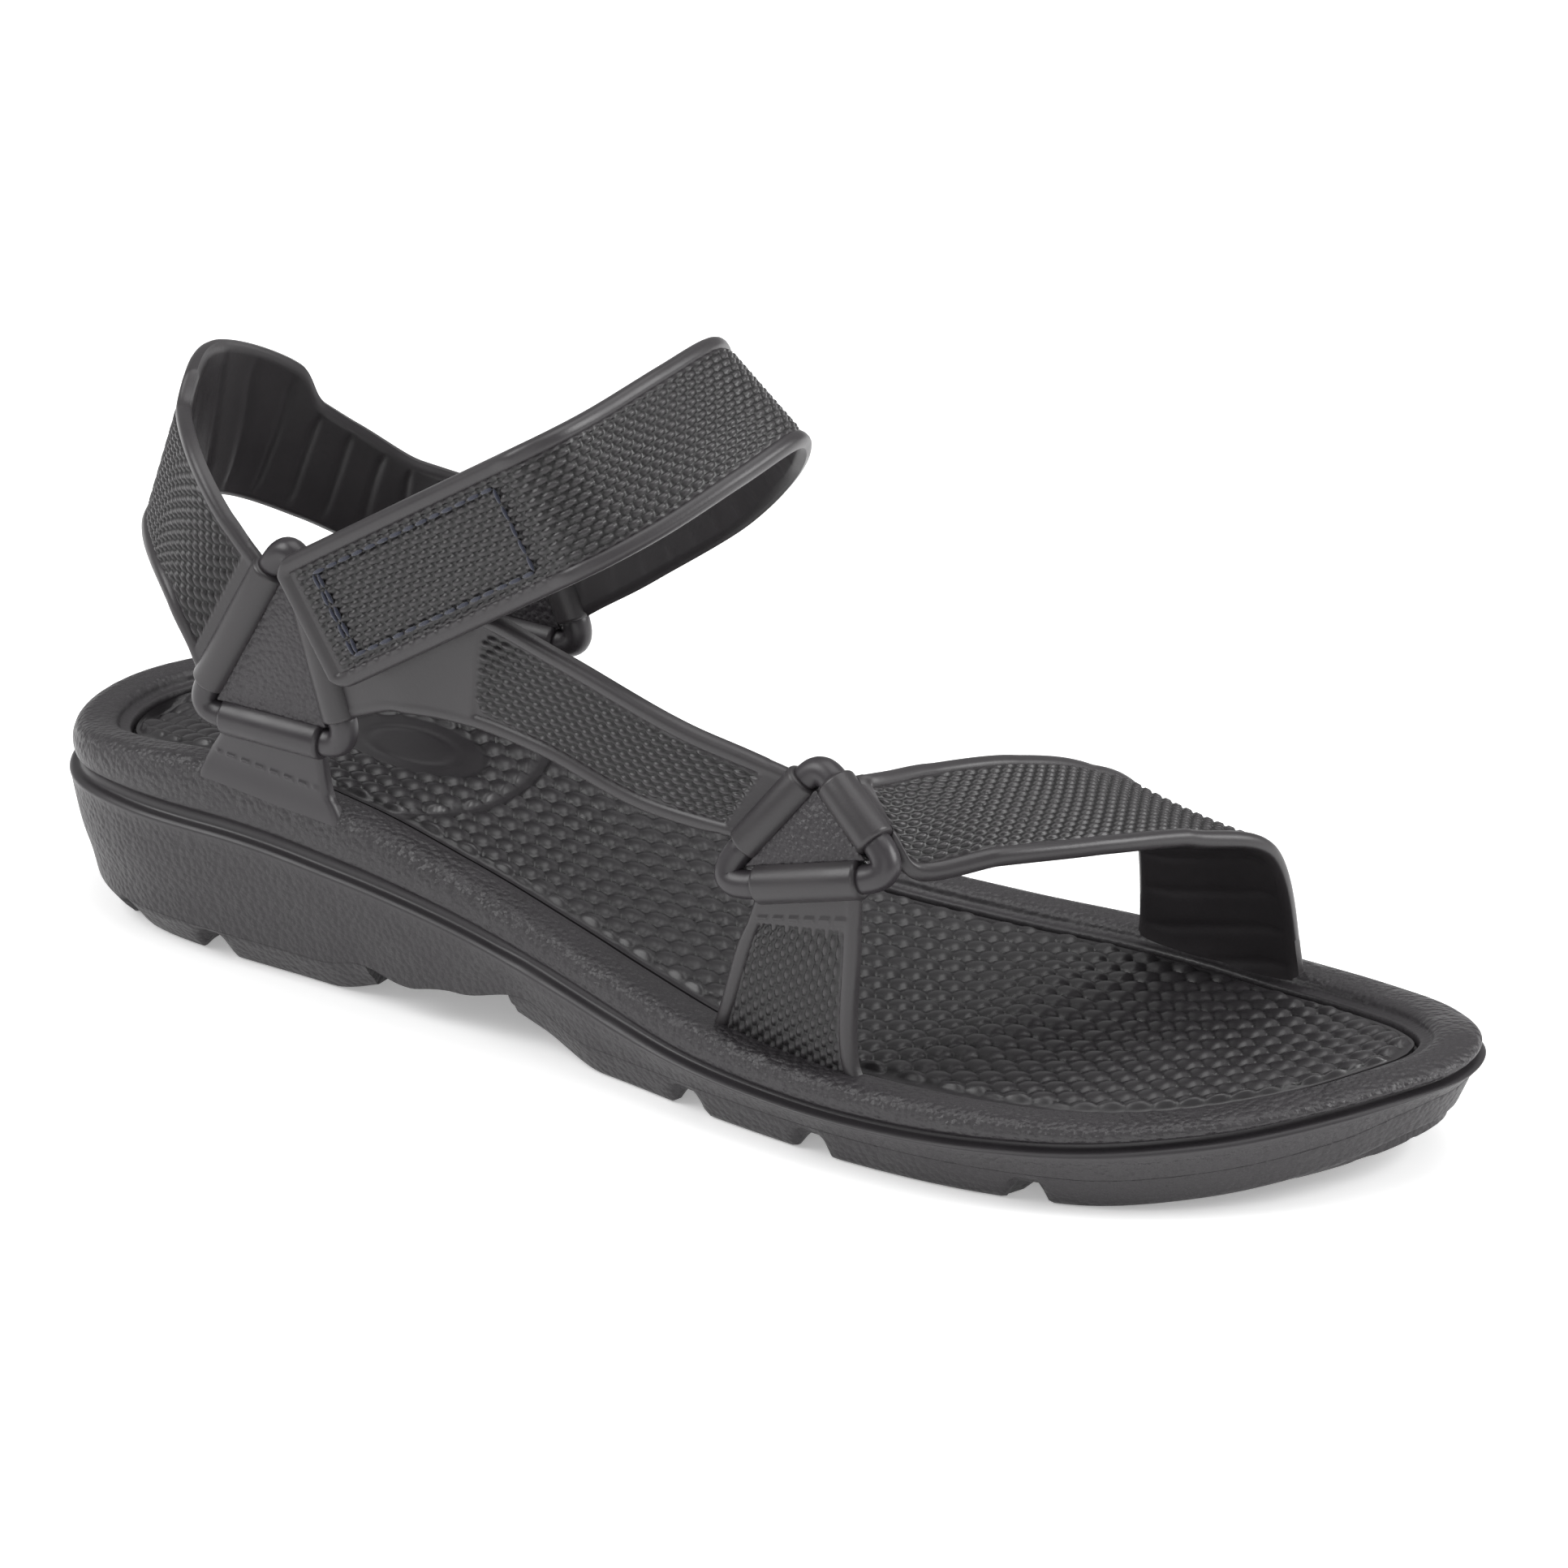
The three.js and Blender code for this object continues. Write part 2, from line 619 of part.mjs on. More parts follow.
function ankleStops() {
  const across = innerRear.seats.fore.along.clone();
  const width = ankleStrap.width;
  const onTail = (reach) => ({ at: onClosure(reach, closure.out), across: closureAcross, width });
  return [
    leave(innerRear.seats.fore, v3(0.946, 0, 0.325), loopOuter - loopWall / 2),
    { at: v3(95, 36.2, 75.5), across, width: width - 1.5 },
    { at: v3(118, 30.5, 93.5), across: v3(0.55, 0.05, -0.83), width },
    { at: v3(136, 18.5, 111), across: v3(0.7, 0, -0.71), width },
    { at: v3(143.5, 5, 120.5), across: v3(0.78, 0, -0.62), width },
    { at: v3(143, -12, 119.5), across: v3(0.72, 0, -0.69), width },
    { at: v3(139, -29, 115.5), across: v3(0.63, 0, -0.77), width },
    { at: v3(135, -39, 112.7), across: closureAcross, width },
    ...[0, 6, 20, 40].map(onTail),
    onTail(closure.front.distanceTo(closure.end)),
  ];
}

// The ankle strap in two halves that meet over the instep, where it folds open.
function ankleHalves() {
  const stops = ankleStops();
  const path = strapPath(stops, (stops.length - 1) * ankleStepsPerStop);
  const split = apexStop * ankleStepsPerStop;
  const along = path[split + 1].at.clone().sub(path[split - 1].at).normalize();
  const endAt = (shift) => ({
    ...path[split], along, at: path[split].at.clone().addScaledVector(along, shift),
  });
  const inner = [...path.slice(0, split), endAt(-gap / 2)];
  const outer = [endAt(gap / 2), ...path.slice(split + 1)];
  return {
    inner: withLoops(strapSolid(inner), endOn(innerRear, "fore")),
    outer: strapSolid(outer),
  };
}

// The layers of the closure, from the tail inwards.
const hookOut = closure.out + strapThickness / 2 + gap + hookPad.thickness / 2;
const loopOut = hookOut + hookPad.thickness / 2 + gap + loopPad.thickness / 2;
const connectorOut = loopOut + loopPad.thickness / 2 + gap + strapThickness / 2;

// A flat pad of hooks or loops, sewn on in the middle of the closure.
function padSolid(pad, out) {
  const corners = [0, pad.length].flatMap((reach) => [-0.5, 0.5].flatMap((s) => [-0.5, 0.5].map(
    (depth) => onClosure(closure.padStart + reach, out + depth * pad.thickness)
      .addScaledVector(closureAcross, s * pad.width),
  )));
  return solidOf(new ConvexGeometry(corners));
}

// Stitching round a pad: a closed run of thread just off a face.
function threadSolid(pad, out, reach) {
  const long = pad.length - 2 * thread.inset;
  const wide = pad.width - 2 * thread.inset;
  const corners = [[0, -1], [long, -1], [long, 1], [0, 1]].map(
    ([r, s]) => onClosure(reach + thread.inset + r, out).addScaledVector(closureAcross, (s * wide) / 2),
  );
  let run = null;
  corners.forEach((corner, i) => {
    const next = corners[(i + 1) % corners.length];
    const piece = barSolid(corner, next, thread.radius, 0, 8)
      .add(solidOf(new THREE.IcosahedronGeometry(thread.radius * 1.05, 1)
        .translate(corner.x, corner.y, corner.z)));
    run = run ? run.add(piece) : piece;
  });
  return run;
}

function connectorStrap() {
  const seat = outerRear.seats.fore;
  const frontSeat = front.seats.back;
  const rearAcross = seat.along.clone();
  const out = connectorOut;
  const stops = [
    { ...leave(seat, v3(0.946, 0, 0.325), loopOuter - loopWall / 2), across: rearAcross },
    { at: v3(90, out, 73.5), across: closureAcross, width: 24 },
    { at: v3(108, out, 75), across: v3(0.3, 0, -0.95), width: 24 },
    { at: v3(128, out - 0.6, 71.5), across: v3(0.22, 0, -0.97), width: connector.width + 1 },
    { at: v3(150, out - 0.8, 65.3), across: v3(0.05, 0, -1), width: connector.width },
    {
      ...leave(frontSeat, v3(-0.8, -0.1, 0.45), loopOuter - loopWall / 2),
      across: v3(-0.35, -0.15, -0.92),
    },
  ];
  const arm = [stops[0], { at: onClosure(40, out), across: closureAcross, width: 22 }, {
    at: onClosure(closure.padStart, out), across: closureAcross, width: 22,
  }];
  const arms = strapSolid(strapPath(stops, 26)).add(strapSolid(strapPath(arm, 8)));
  return withLoops(arms, endOn(outerRear, "fore"), endOn(front, "back"));
}

function toeStrapPath() {
  const seat = front.seats.fore;
  const { along, inset } = toeStrap;
  const foot = edgeAt(along, 1, inset);
  foot.z = rimHeight(along / soleLength) - toeStrap.depth;
  const run = edgeAt(along + 5, 1, inset).sub(edgeAt(along - 5, 1, inset)).normalize();
  const stops = [
    { ...leave(seat, v3(0.35, 0.55, 0.3), loopOuter - loopWall / 2), across: seat.along.clone() },
    { at: v3(203, -19, 60.5), across: v3(0.93, -0.1, -0.35), width: toeStrap.crownWidth - 4 },
    { at: v3(211, 0, 58), across: v3(0.96, 0, -0.25), width: toeStrap.crownWidth },
    { at: v3(218, 18, 50.5), across: v3(0.98, 0, -0.18), width: toeStrap.crownWidth + 2 },
    { at: v3(221.5, 33, 37), across: v3(0.995, -0.08, -0.05), width: toeStrap.crownWidth + 4 },
    { at: foot.clone().setZ(foot.z + toeStrap.depth + 3), across: run, width: toeStrap.footWidth },
    { at: foot, across: run, width: toeStrap.footWidth },
  ];
  return strapPath(stops, 26);
}

function toeStrapSolid() {
  const path = toeStrapPath();
  feet.push(strapSolid(path.slice(-8), gap));
  return withLoops(strapSolid(path), endOn(front, "fore"));
}

// ---- assembly -----------------------------------------------------------------------------------

const finishes = {
  foam: { color: 0x454245, roughness: 0.62 },
  footbed: { color: 0x413e40, roughness: 0.4 },
  tread: { color: 0x424043, roughness: 0.7 },
  strap: { color: 0x4a4749, roughness: 0.5 },
  link: { color: 0x484347, roughness: 0.55 },
  hook: { color: 0x3c3a3c, roughness: 0.8 },
  loop: { color: 0x2e2c2f, roughness: 0.95 },
  thread: { color: 0x1a2038, roughness: 0.7 },
};

function named(name, solid, finish) {
  const material = new THREE.MeshStandardMaterial({ metalness: 0, ...finishes[finish] });
  const mesh = new THREE.Mesh(geometryFrom(solid), material);
  mesh.name = name;
  return mesh;
}

const sandal = new THREE.Group();
const heel = heelStrapPieces();
const ankle = ankleHalves();
sandal.add(
  named("rear_outer_link", linkSolid(outerRear), "link"),
  named("rear_inner_link", linkSolid(innerRear), "link"),
  named("front_link", linkSolid(front), "link"),
  named("rear_outer_plate", plateSolid(outerRear), "link"),
  named("rear_inner_plate", plateSolid(innerRear), "link"),
  named("front_plate", plateSolid(front), "link"),
  named("rear_outer_tab", tabPiece(outerRear, -1, rearTab), "strap"),
  named("rear_inner_tab", tabPiece(innerRear, 1, rearTab), "strap"),
  named("front_tab", tabPiece(front, -1, frontTab), "strap"),
  named("heel_strap_outer_end", heel.outerEnd, "strap"),
  named("heel_strap_inner_end", heel.innerEnd, "strap"),
  named("heel_strap", heel.middle, "strap"),
  named("connector_strap", connectorStrap(), "strap"),
  named("loop_pad", padSolid(loopPad, loopOut), "loop"),
  named("ankle_strap", ankle.inner, "strap"),
  named("strap_tail", ankle.outer, "strap"),
  named("hook_pad", padSolid(hookPad, hookOut), "hook"),
  named(
    "hook_pad_stitching",
    threadSolid(hookPad, closure.out - strapThickness / 2 - gap - thread.radius, closure.padStart),
    "thread",
  ),
  named("toe_strap", toeStrapSolid(), "strap"),
  named("midsole", midsole(), "foam"),
  named("footbed", footbed(), "footbed"),
  named("heel_tread", treadPiece(0, heelTreadTip, heelNotches), "tread"),
  named("forefoot_tread", treadPiece(forefootTreadTip, soleLength, forefootNotches), "tread"),
);

const box = new THREE.Box3().setFromObject(sandal, true);
const middle = box.getCenter(v3(0, 0, 0));
sandal.position.set(-middle.x, -middle.y, -box.min.z);

export default sandal;
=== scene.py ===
import math
import bpy
import numpy as np
from mathutils import Matrix, Vector


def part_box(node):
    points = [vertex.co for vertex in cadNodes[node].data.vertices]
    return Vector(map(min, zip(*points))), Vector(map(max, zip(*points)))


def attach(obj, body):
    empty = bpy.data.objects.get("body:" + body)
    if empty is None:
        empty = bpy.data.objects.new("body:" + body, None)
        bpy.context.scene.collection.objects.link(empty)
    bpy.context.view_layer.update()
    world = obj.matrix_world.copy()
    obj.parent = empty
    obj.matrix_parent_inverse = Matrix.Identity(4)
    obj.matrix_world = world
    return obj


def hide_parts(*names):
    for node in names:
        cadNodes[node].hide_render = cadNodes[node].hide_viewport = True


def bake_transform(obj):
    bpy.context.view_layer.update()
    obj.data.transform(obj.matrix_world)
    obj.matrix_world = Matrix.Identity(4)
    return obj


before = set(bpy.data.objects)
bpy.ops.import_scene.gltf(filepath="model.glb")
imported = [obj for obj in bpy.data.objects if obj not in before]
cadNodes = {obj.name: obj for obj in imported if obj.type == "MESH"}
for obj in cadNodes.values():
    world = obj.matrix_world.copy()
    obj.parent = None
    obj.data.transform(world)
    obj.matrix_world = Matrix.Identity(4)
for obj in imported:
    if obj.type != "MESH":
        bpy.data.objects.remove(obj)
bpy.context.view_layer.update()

mm = 0.001


# small tools: vectors, curves and nodes

def vec(*values):
    return np.array(values, float)


def unit(v):
    return v / np.linalg.norm(v, axis=-1, keepdims=True)


def ease(value, low, high):
    t = np.clip((np.asarray(value, float) - low) / (high - low), 0, 1)
    return t * t * (3 - 2 * t)


def curveThrough(pairs):  # smooth function of the share of the length, flat at its extremes
    xs = np.array([p[0] for p in pairs], float)
    ys = np.array([p[1] for p in pairs], float)
    last = len(xs) - 1
    slopes = np.zeros(len(xs))
    for i in range(len(xs)):
        a, b = max(i - 1, 0), min(i + 1, last)
        if (ys[i] - ys[a]) * (ys[b] - ys[i]) > 0:
            slopes[i] = (ys[b] - ys[a]) / (xs[b] - xs[a])

    def height(share):
        p = np.clip(np.asarray(share, float), xs[0], xs[-1])
        i = np.clip(np.searchsorted(xs, p), 1, last)
        span = xs[i] - xs[i - 1]
        t = (p - xs[i - 1]) / span
        return ((2 * t**3 - 3 * t**2 + 1) * ys[i - 1] + (t**3 - 2 * t**2 + t) * span * slopes[i - 1]
                + (3 * t**2 - 2 * t**3) * ys[i] + (t**3 - t**2) * span * slopes[i])
    return height


def smoothLine(points, count, closed=False):  # centripetal curve through points, count steps
    points = np.asarray(points, float)
    n = len(points)
    places = np.linspace(0, n if closed else n - 1, count + 1)
    out = []
    for p in places[:-1] if closed else places:
        k = min(int(p), n - 1 if closed else n - 2)
        t = p - k
        if closed:
            q = [points[(k + j) % n] for j in (-1, 0, 1, 2)]
        else:
            q = [points[k - 1] if k else 2 * points[0] - points[1], points[k], points[k + 1],
                 points[k + 2] if k + 2 < n else 2 * points[-1] - points[-2]]
        d = [max(np.sum((q[j + 1] - q[j]) ** 2) ** 0.25, 1e-4) for j in range(3)]
        t1 = d[1] * ((q[1] - q[0]) / d[0] - (q[2] - q[0]) / (d[0] + d[1]) + (q[2] - q[1]) / d[1])
        t2 = d[1] * ((q[2] - q[1]) / d[1] - (q[3] - q[1]) / (d[1] + d[2]) + (q[3] - q[2]) / d[2])
        out.append(q[1] + t1 * t + (-3 * q[1] + 3 * q[2] - 2 * t1 - t2) * t**2
                   + (2 * q[1] - 2 * q[2] + t1 + t2) * t**3)
    return np.array(out)


def srgb(hexColour):  # sRGB hex to linear
    parts = [int(hexColour[i:i + 2], 16) / 255 for i in (0, 2, 4)]
    return [p / 12.92 if p <= 0.04045 else ((p + 0.055) / 1.055) ** 2.4 for p in parts] + [1]


def addNode(tree, kind, settings=None, links=None):
    node = tree.nodes.new(kind)
    for key, value in (settings or {}).items():
        setattr(node, key, value)
    for key, value in (links or {}).items():
        if isinstance(value, bpy.types.NodeSocket):
            tree.links.new(value, node.inputs[key])
        else:
            node.inputs[key].default_value = value
    return node


# the sole's outline and heights, as the frame was drawn

sole = {
    "length": 290, "width": 98, "rimWidth": 11, "rimRound": 2.2, "grooveDepth": 1.9,
    "grooveHalf": 1.6, "sideBulge": 0.6, "groundInset": 6.5, "treadThickness": 6.5,
    "footbedDrop": 2.6, "heelCupSag": 2.2, "stations": 330, "across": 26,
}
outline = [
    [0, 0], [0.012, -0.32], [0.045, -0.56], [0.103, -0.7], [0.24, -0.745], [0.386, -0.78],
    [0.483, -0.86], [0.58, -0.96], [0.676, -1.01], [0.766, -0.97], [0.848, -0.82],
    [0.917, -0.55], [0.969, -0.2], [0.997, 0.16], [0.99, 0.43], [0.952, 0.67], [0.886, 0.85],
    [0.8, 0.95], [0.71, 0.98], [0.62, 0.93], [0.524, 0.81], [0.42, 0.705], [0.317, 0.685],
    [0.172, 0.71], [0.052, 0.54], [0.012, 0.3],
]
rimHeight = curveThrough([
    [0, 35.5], [0.08, 38.5], [0.165, 41], [0.27, 38], [0.35, 32.5], [0.43, 26.5],
    [0.545, 19.5], [0.66, 17], [0.8, 17], [0.88, 18.2], [0.95, 20.8], [1, 22.8],
])
grooveHeight = curveThrough([
    [0, 28.5], [0.09, 29.5], [0.165, 29.5], [0.27, 27.3], [0.35, 24], [0.45, 18.3],
    [0.545, 12.6], [0.66, 11], [0.8, 12.8], [0.9, 16], [1, 20],
])
groundHeight = curveThrough([
    [0, 3.5], [0.04, 0.8], [0.07, 0], [0.25, 0], [0.3, 4], [0.36, 8], [0.42, 4.5],
    [0.47, 0], [0.82, 0], [0.9, 2.2], [0.96, 6], [1, 10],
])
heelTuck = curveThrough([[0, 1.6], [0.08, 1.25], [0.2, 1], [0.6, 0.75], [0.85, 0.75], [1, 0.7]])


def soleSides():  # heel to toe along the outer and the inner edge, at matching places
    half = sole["width"] / 2
    dense = smoothLine([[a * sole["length"], b * half] for a, b in outline], 1560, closed=True)
    heel, toe = int(np.argmin(dense[:, 0])), int(np.argmax(dense[:, 0]))
    n = len(dense)
    outer = dense[(heel + np.arange((toe - heel) % n + 1)) % n]
    inner = dense[(heel - np.arange((heel - toe) % n + 1)) % n]
    k = np.arange(sole["stations"] + 1) / sole["stations"]
    x0, x1 = dense[heel, 0], dense[toe, 0]
    even = 0.35 * (1 - np.cos(np.pi * k)) / 2 + 0.65 * k  # closer together at heel and toe
    even = 0.5 * even + 0.5 * (1 - np.cos(np.pi * k)) / 2
    xs = x0 + (x1 - x0) * even
    sides = []
    for branch in (outer, inner):
        sides.append(np.column_stack([xs, np.interp(xs, branch[:, 0], branch[:, 1])]))
    return sides


sides = soleSides()
plan = np.vstack([sides[0], sides[1][-2:0:-1]])  # one closed ring
shares = np.clip(plan[:, 0] / sole["length"], 0, 1)
inward = unit(np.column_stack([
    np.roll(plan[:, 1], 1) - np.roll(plan[:, 1], -1),
    np.roll(plan[:, 0], -1) - np.roll(plan[:, 0], 1),
]))
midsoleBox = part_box("midsole")
shift = vec(midsoleBox[0][0] / mm - plan[:, 0].min(), midsoleBox[0][1] / mm - plan[:, 1].min(), 0)


def soleRing(inset, height):
    xy = plan + inward * np.broadcast_to(inset, len(plan))[:, None]
    return np.column_stack([xy, np.broadcast_to(height, len(plan))])


def edgeAt(along, side, inset=0.0):  # a point of the sole's edge, side -1 outer or 1 inner
    ring = soleRing(inset, 0.0)
    n = sole["stations"]
    half = ring[:n + 1] if side < 0 else np.vstack([ring[0], ring[n:][::-1]])
    return vec(along, np.interp(along, half[:, 0], half[:, 1]), 0)


# meshes laid out from a grid

def asActive(piece):
    bpy.ops.object.select_all(action="DESELECT")
    piece.select_set(True)
    bpy.context.view_layer.objects.active = piece


# points: rows x columns x 3, in mm from the heel; relief is 0 in hollows and smooth places, and
# some materials paint shade where it is low
def laidGrid(name, points, uvs=None, relief=None):
    points = np.asarray(points, float)
    rows, cols = points.shape[:2]
    bpy.ops.object.select_all(action="DESELECT")
    bpy.ops.mesh.primitive_grid_add(x_subdivisions=cols - 1, y_subdivisions=rows - 1, size=1)
    piece = bpy.context.object
    piece.name = name
    piece.data.name = name
    piece.data.vertices.foreach_set("co", ((points + shift) * mm).reshape(-1))
    layer = piece.data.uv_layers.active
    layer.name = "lay"
    if uvs is not None:
        corner = np.zeros(len(piece.data.loops), int)
        piece.data.loops.foreach_get("vertex_index", corner)
        layer.data.foreach_set("uv", np.asarray(uvs, float).reshape(-1, 2)[corner].reshape(-1))
    heights = np.ones(rows * cols) if relief is None else np.asarray(relief, float).reshape(-1)
    piece.data.attributes.new("relief", "FLOAT", "POINT").data.foreach_set("value", heights)
    return piece


def weld(pieces, name, holes=False, smooth=50):
    bpy.ops.object.select_all(action="DESELECT")
    for piece in pieces:
        piece.select_set(True)
    bpy.context.view_layer.objects.active = pieces[0]
    if len(pieces) > 1:
        bpy.ops.object.join()
    piece = bpy.context.object
    piece.name = name
    piece.data.name = name
    bpy.ops.object.mode_set(mode="EDIT")
    bpy.ops.mesh.select_all(action="SELECT")
    bpy.ops.mesh.remove_doubles(threshold=2e-6)
    bpy.ops.mesh.dissolve_degenerate(threshold=1e-7)
    if holes:
        bpy.ops.mesh.fill_holes(sides=0)
    bpy.ops.mesh.select_all(action="SELECT")
    bpy.ops.mesh.normals_make_consistent(inside=False)
    bpy.ops.object.mode_set(mode="OBJECT")
    bpy.ops.object.shade_smooth_by_angle(angle=math.radians(smooth))
    return piece


def dress(piece, material, slotName, body, *nodeNames):
    piece.data.materials.clear()
    piece.data.materials.append(material)
    if body:
        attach(piece, body)
    if nodeNames:
        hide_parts(*nodeNames)


# materials

def mouldedFoam(name, look):  # closed-cell EVA from a grained steel mould: dark, soft sheen
    material = bpy.data.materials.new(name)
    material.use_nodes = True
    tree = material.node_tree
    shader = tree.nodes["Principled BSDF"]
    place = addNode(tree, "ShaderNodeTexCoord").outputs["Object"]
    cloud = addNode(tree, "ShaderNodeTexNoise", None, {
        "Vector": place, "Scale": 1 / (look["cloud"] * mm), "Detail": 3.0})
    tone = addNode(tree, "ShaderNodeMix", {"data_type": "RGBA"}, {
        0: cloud.outputs["Fac"], 6: srgb(look["dark"]), 7: srgb(look["light"])})
    # painted shade: the colour is darkened where relief is low, in the hollows of a pattern
    relief = addNode(tree, "ShaderNodeAttribute", {"attribute_name": "relief"}).outputs["Fac"]
    paintedShade = addNode(tree, "ShaderNodeMapRange", None, {
        "Value": relief, "To Min": look.get("hollowShade", 1.0), "To Max": 1.0})
    shade = addNode(tree, "ShaderNodeMix", {"data_type": "RGBA", "blend_type": "MULTIPLY"}, {
        0: 1.0, 6: tone.outputs[2], 7: paintedShade.outputs["Result"]})
    tree.links.new(shade.outputs[2], shader.inputs["Base Color"])
    pebble = addNode(tree, "ShaderNodeTexVoronoi", {"feature": "SMOOTH_F1"}, {
        "Vector": place, "Scale": 1 / (look["grain"] * mm), "Smoothness": 0.35,
        "Randomness": 1.0})
    fine = addNode(tree, "ShaderNodeTexNoise", None, {
        "Vector": place, "Scale": 1 / (0.3 * look["grain"] * mm), "Detail": 2.0})
    grain = addNode(tree, "ShaderNodeMath", {"operation": "MULTIPLY_ADD"}, {
        0: fine.outputs["Fac"], 1: -0.3, 2: pebble.outputs["Distance"]})
    masked = addNode(tree, "ShaderNodeMath", {"operation": "MULTIPLY"}, {
        0: grain.outputs[0], 1: relief if look.get("fades") else 1.0})
    bump = addNode(tree, "ShaderNodeBump", {"invert": True}, {
        "Height": masked.outputs[0], "Strength": look["strength"],
        "Distance": look["depth"] * mm})
    tree.links.new(bump.outputs["Normal"], shader.inputs["Normal"])
    sheen = addNode(tree, "ShaderNodeMapRange", None, {
        "Value": cloud.outputs["Fac"], "From Min": 0.3, "From Max": 0.7,
        "To Min": look["rough"] - 0.04, "To Max": look["rough"] + 0.06})
    tree.links.new(sheen.outputs["Result"], shader.inputs["Roughness"])
    shader.inputs["IOR"].default_value = 1.49
    return material


# grain is the pebbles' size in mm, drawn twice the real 0.6 so that it shows;
# the hollows' shade value is how dark the hollows of a pattern are painted, as painted shade, and
# fades lets relief smooth the grain away
foamLooks = {
    "sidewall": {"dark": "272527", "light": "2e2b2e", "rough": 0.42, "grain": 1.25,
                 "depth": 0.42, "strength": 1.0, "cloud": 9, "fades": True},
    "outsole": {"dark": "252325", "light": "2c292c", "rough": 0.46, "grain": 1.25,
                "depth": 0.38, "strength": 1.0, "cloud": 9},
    "footbed": {"dark": "252325", "light": "2c2a2c", "rough": 0.36, "grain": 1.4,
                "depth": 0.03, "strength": 0.35, "cloud": 14, "hollowShade": 0.12},
    "strap": {"dark": "2a282a", "light": "322f31", "rough": 0.38, "grain": 0.6,
              "depth": 0.03, "strength": 0.4, "cloud": 12, "hollowShade": 0.22},
    "link": {"dark": "282528", "light": "2f2c2f", "rough": 0.36, "grain": 0.7,
             "depth": 0.02, "strength": 0.3, "cloud": 8},
    "plate": {"dark": "292629", "light": "302d30", "rough": 0.42, "grain": 1.0,
              "depth": 0.28, "strength": 1.0, "cloud": 8},
}
foams = {key: mouldedFoam("EvaFoam_" + key, look) for key, look in foamLooks.items()}


def wovenPolyester(name, look):  # spun thread or pile: matt, with a soft rim of fibre light
    material = bpy.data.materials.new(name)
    material.use_nodes = True
    tree = material.node_tree
    shader = tree.nodes["Principled BSDF"]
    place = addNode(tree, "ShaderNodeTexCoord").outputs["Object"]
    fibre = addNode(tree, "ShaderNodeTexNoise", None, {
        "Vector": place, "Scale": 1 / (look["fibre"] * mm), "Detail": 4.0, "Roughness": 0.7})
    tone = addNode(tree, "ShaderNodeMix", {"data_type": "RGBA"}, {
        0: fibre.outputs["Fac"], 6: srgb(look["dark"]), 7: srgb(look["light"])})
    tree.links.new(tone.outputs[2], shader.inputs["Base Color"])
    bump = addNode(tree, "ShaderNodeBump", None, {
        "Height": fibre.outputs["Fac"], "Strength": 0.9, "Distance": look["depth"] * mm})
    tree.links.new(bump.outputs["Normal"], shader.inputs["Normal"])
    shader.inputs["Roughness"].default_value = look["rough"]
    shader.inputs["Sheen Weight"].default_value = 0.3
    return material


fabrics = {
    "thread": wovenPolyester("PolyesterThread_navy", {
        "dark": "0a0e1d", "light": "161d38", "fibre": 0.25, "depth": 0.1, "rough": 0.6}),
    "pile": wovenPolyester("NylonPile_black", {
        "dark": "121113", "light": "242225", "fibre": 0.5, "depth": 0.4, "rough": 0.9}),
}
print("materials made")


# sole: midsole, footbed and treads

length = sole["length"]
stations = sole["stations"]
heelTreadEnd, forefootTreadStart, archTaper = 0.27, 0.42, 0.06


def tread(share):
    heel = ease(heelTreadEnd + archTaper - share, 0, archTaper)
    fore = ease(share - forefootTreadStart + archTaper, 0, archTaper)
    return sole["treadThickness"] * np.minimum(heel + fore, 1)


bond = groundHeight(shares) + tread(shares)
bondInset = sole["groundInset"] * heelTuck(shares) * 0.42


def lidOf(ring, across, lift):  # a surface from side to side that closes a ring
    n = stations
    outer = ring[:n + 1]
    inner = np.vstack([ring[0], ring[n:][::-1]])
    s = np.linspace(0, 1, across + 1)
    grid = outer[:, None, :] * (1 - s)[None, :, None] + inner[:, None, :] * s[None, :, None]
    bow = 1 - (2 * s - 1) ** 2
    grid[:, :, 2] += lift(np.clip(grid[:, :, 0] / length, 0, 1)) * bow[None, :]
    return grid


def cupSag(share):
    return sole["heelCupSag"] * ease(0.5 - share, 0, 0.3)


def wallOf(controls, count):  # rings interpolated through control rings, closed all round
    n = len(controls)
    stack = np.array(controls)
    line = smoothLine(stack.reshape(n, -1), count)
    wall = line.reshape(count + 1, -1, 3)
    return np.concatenate([wall, wall[:, :1]], axis=1)


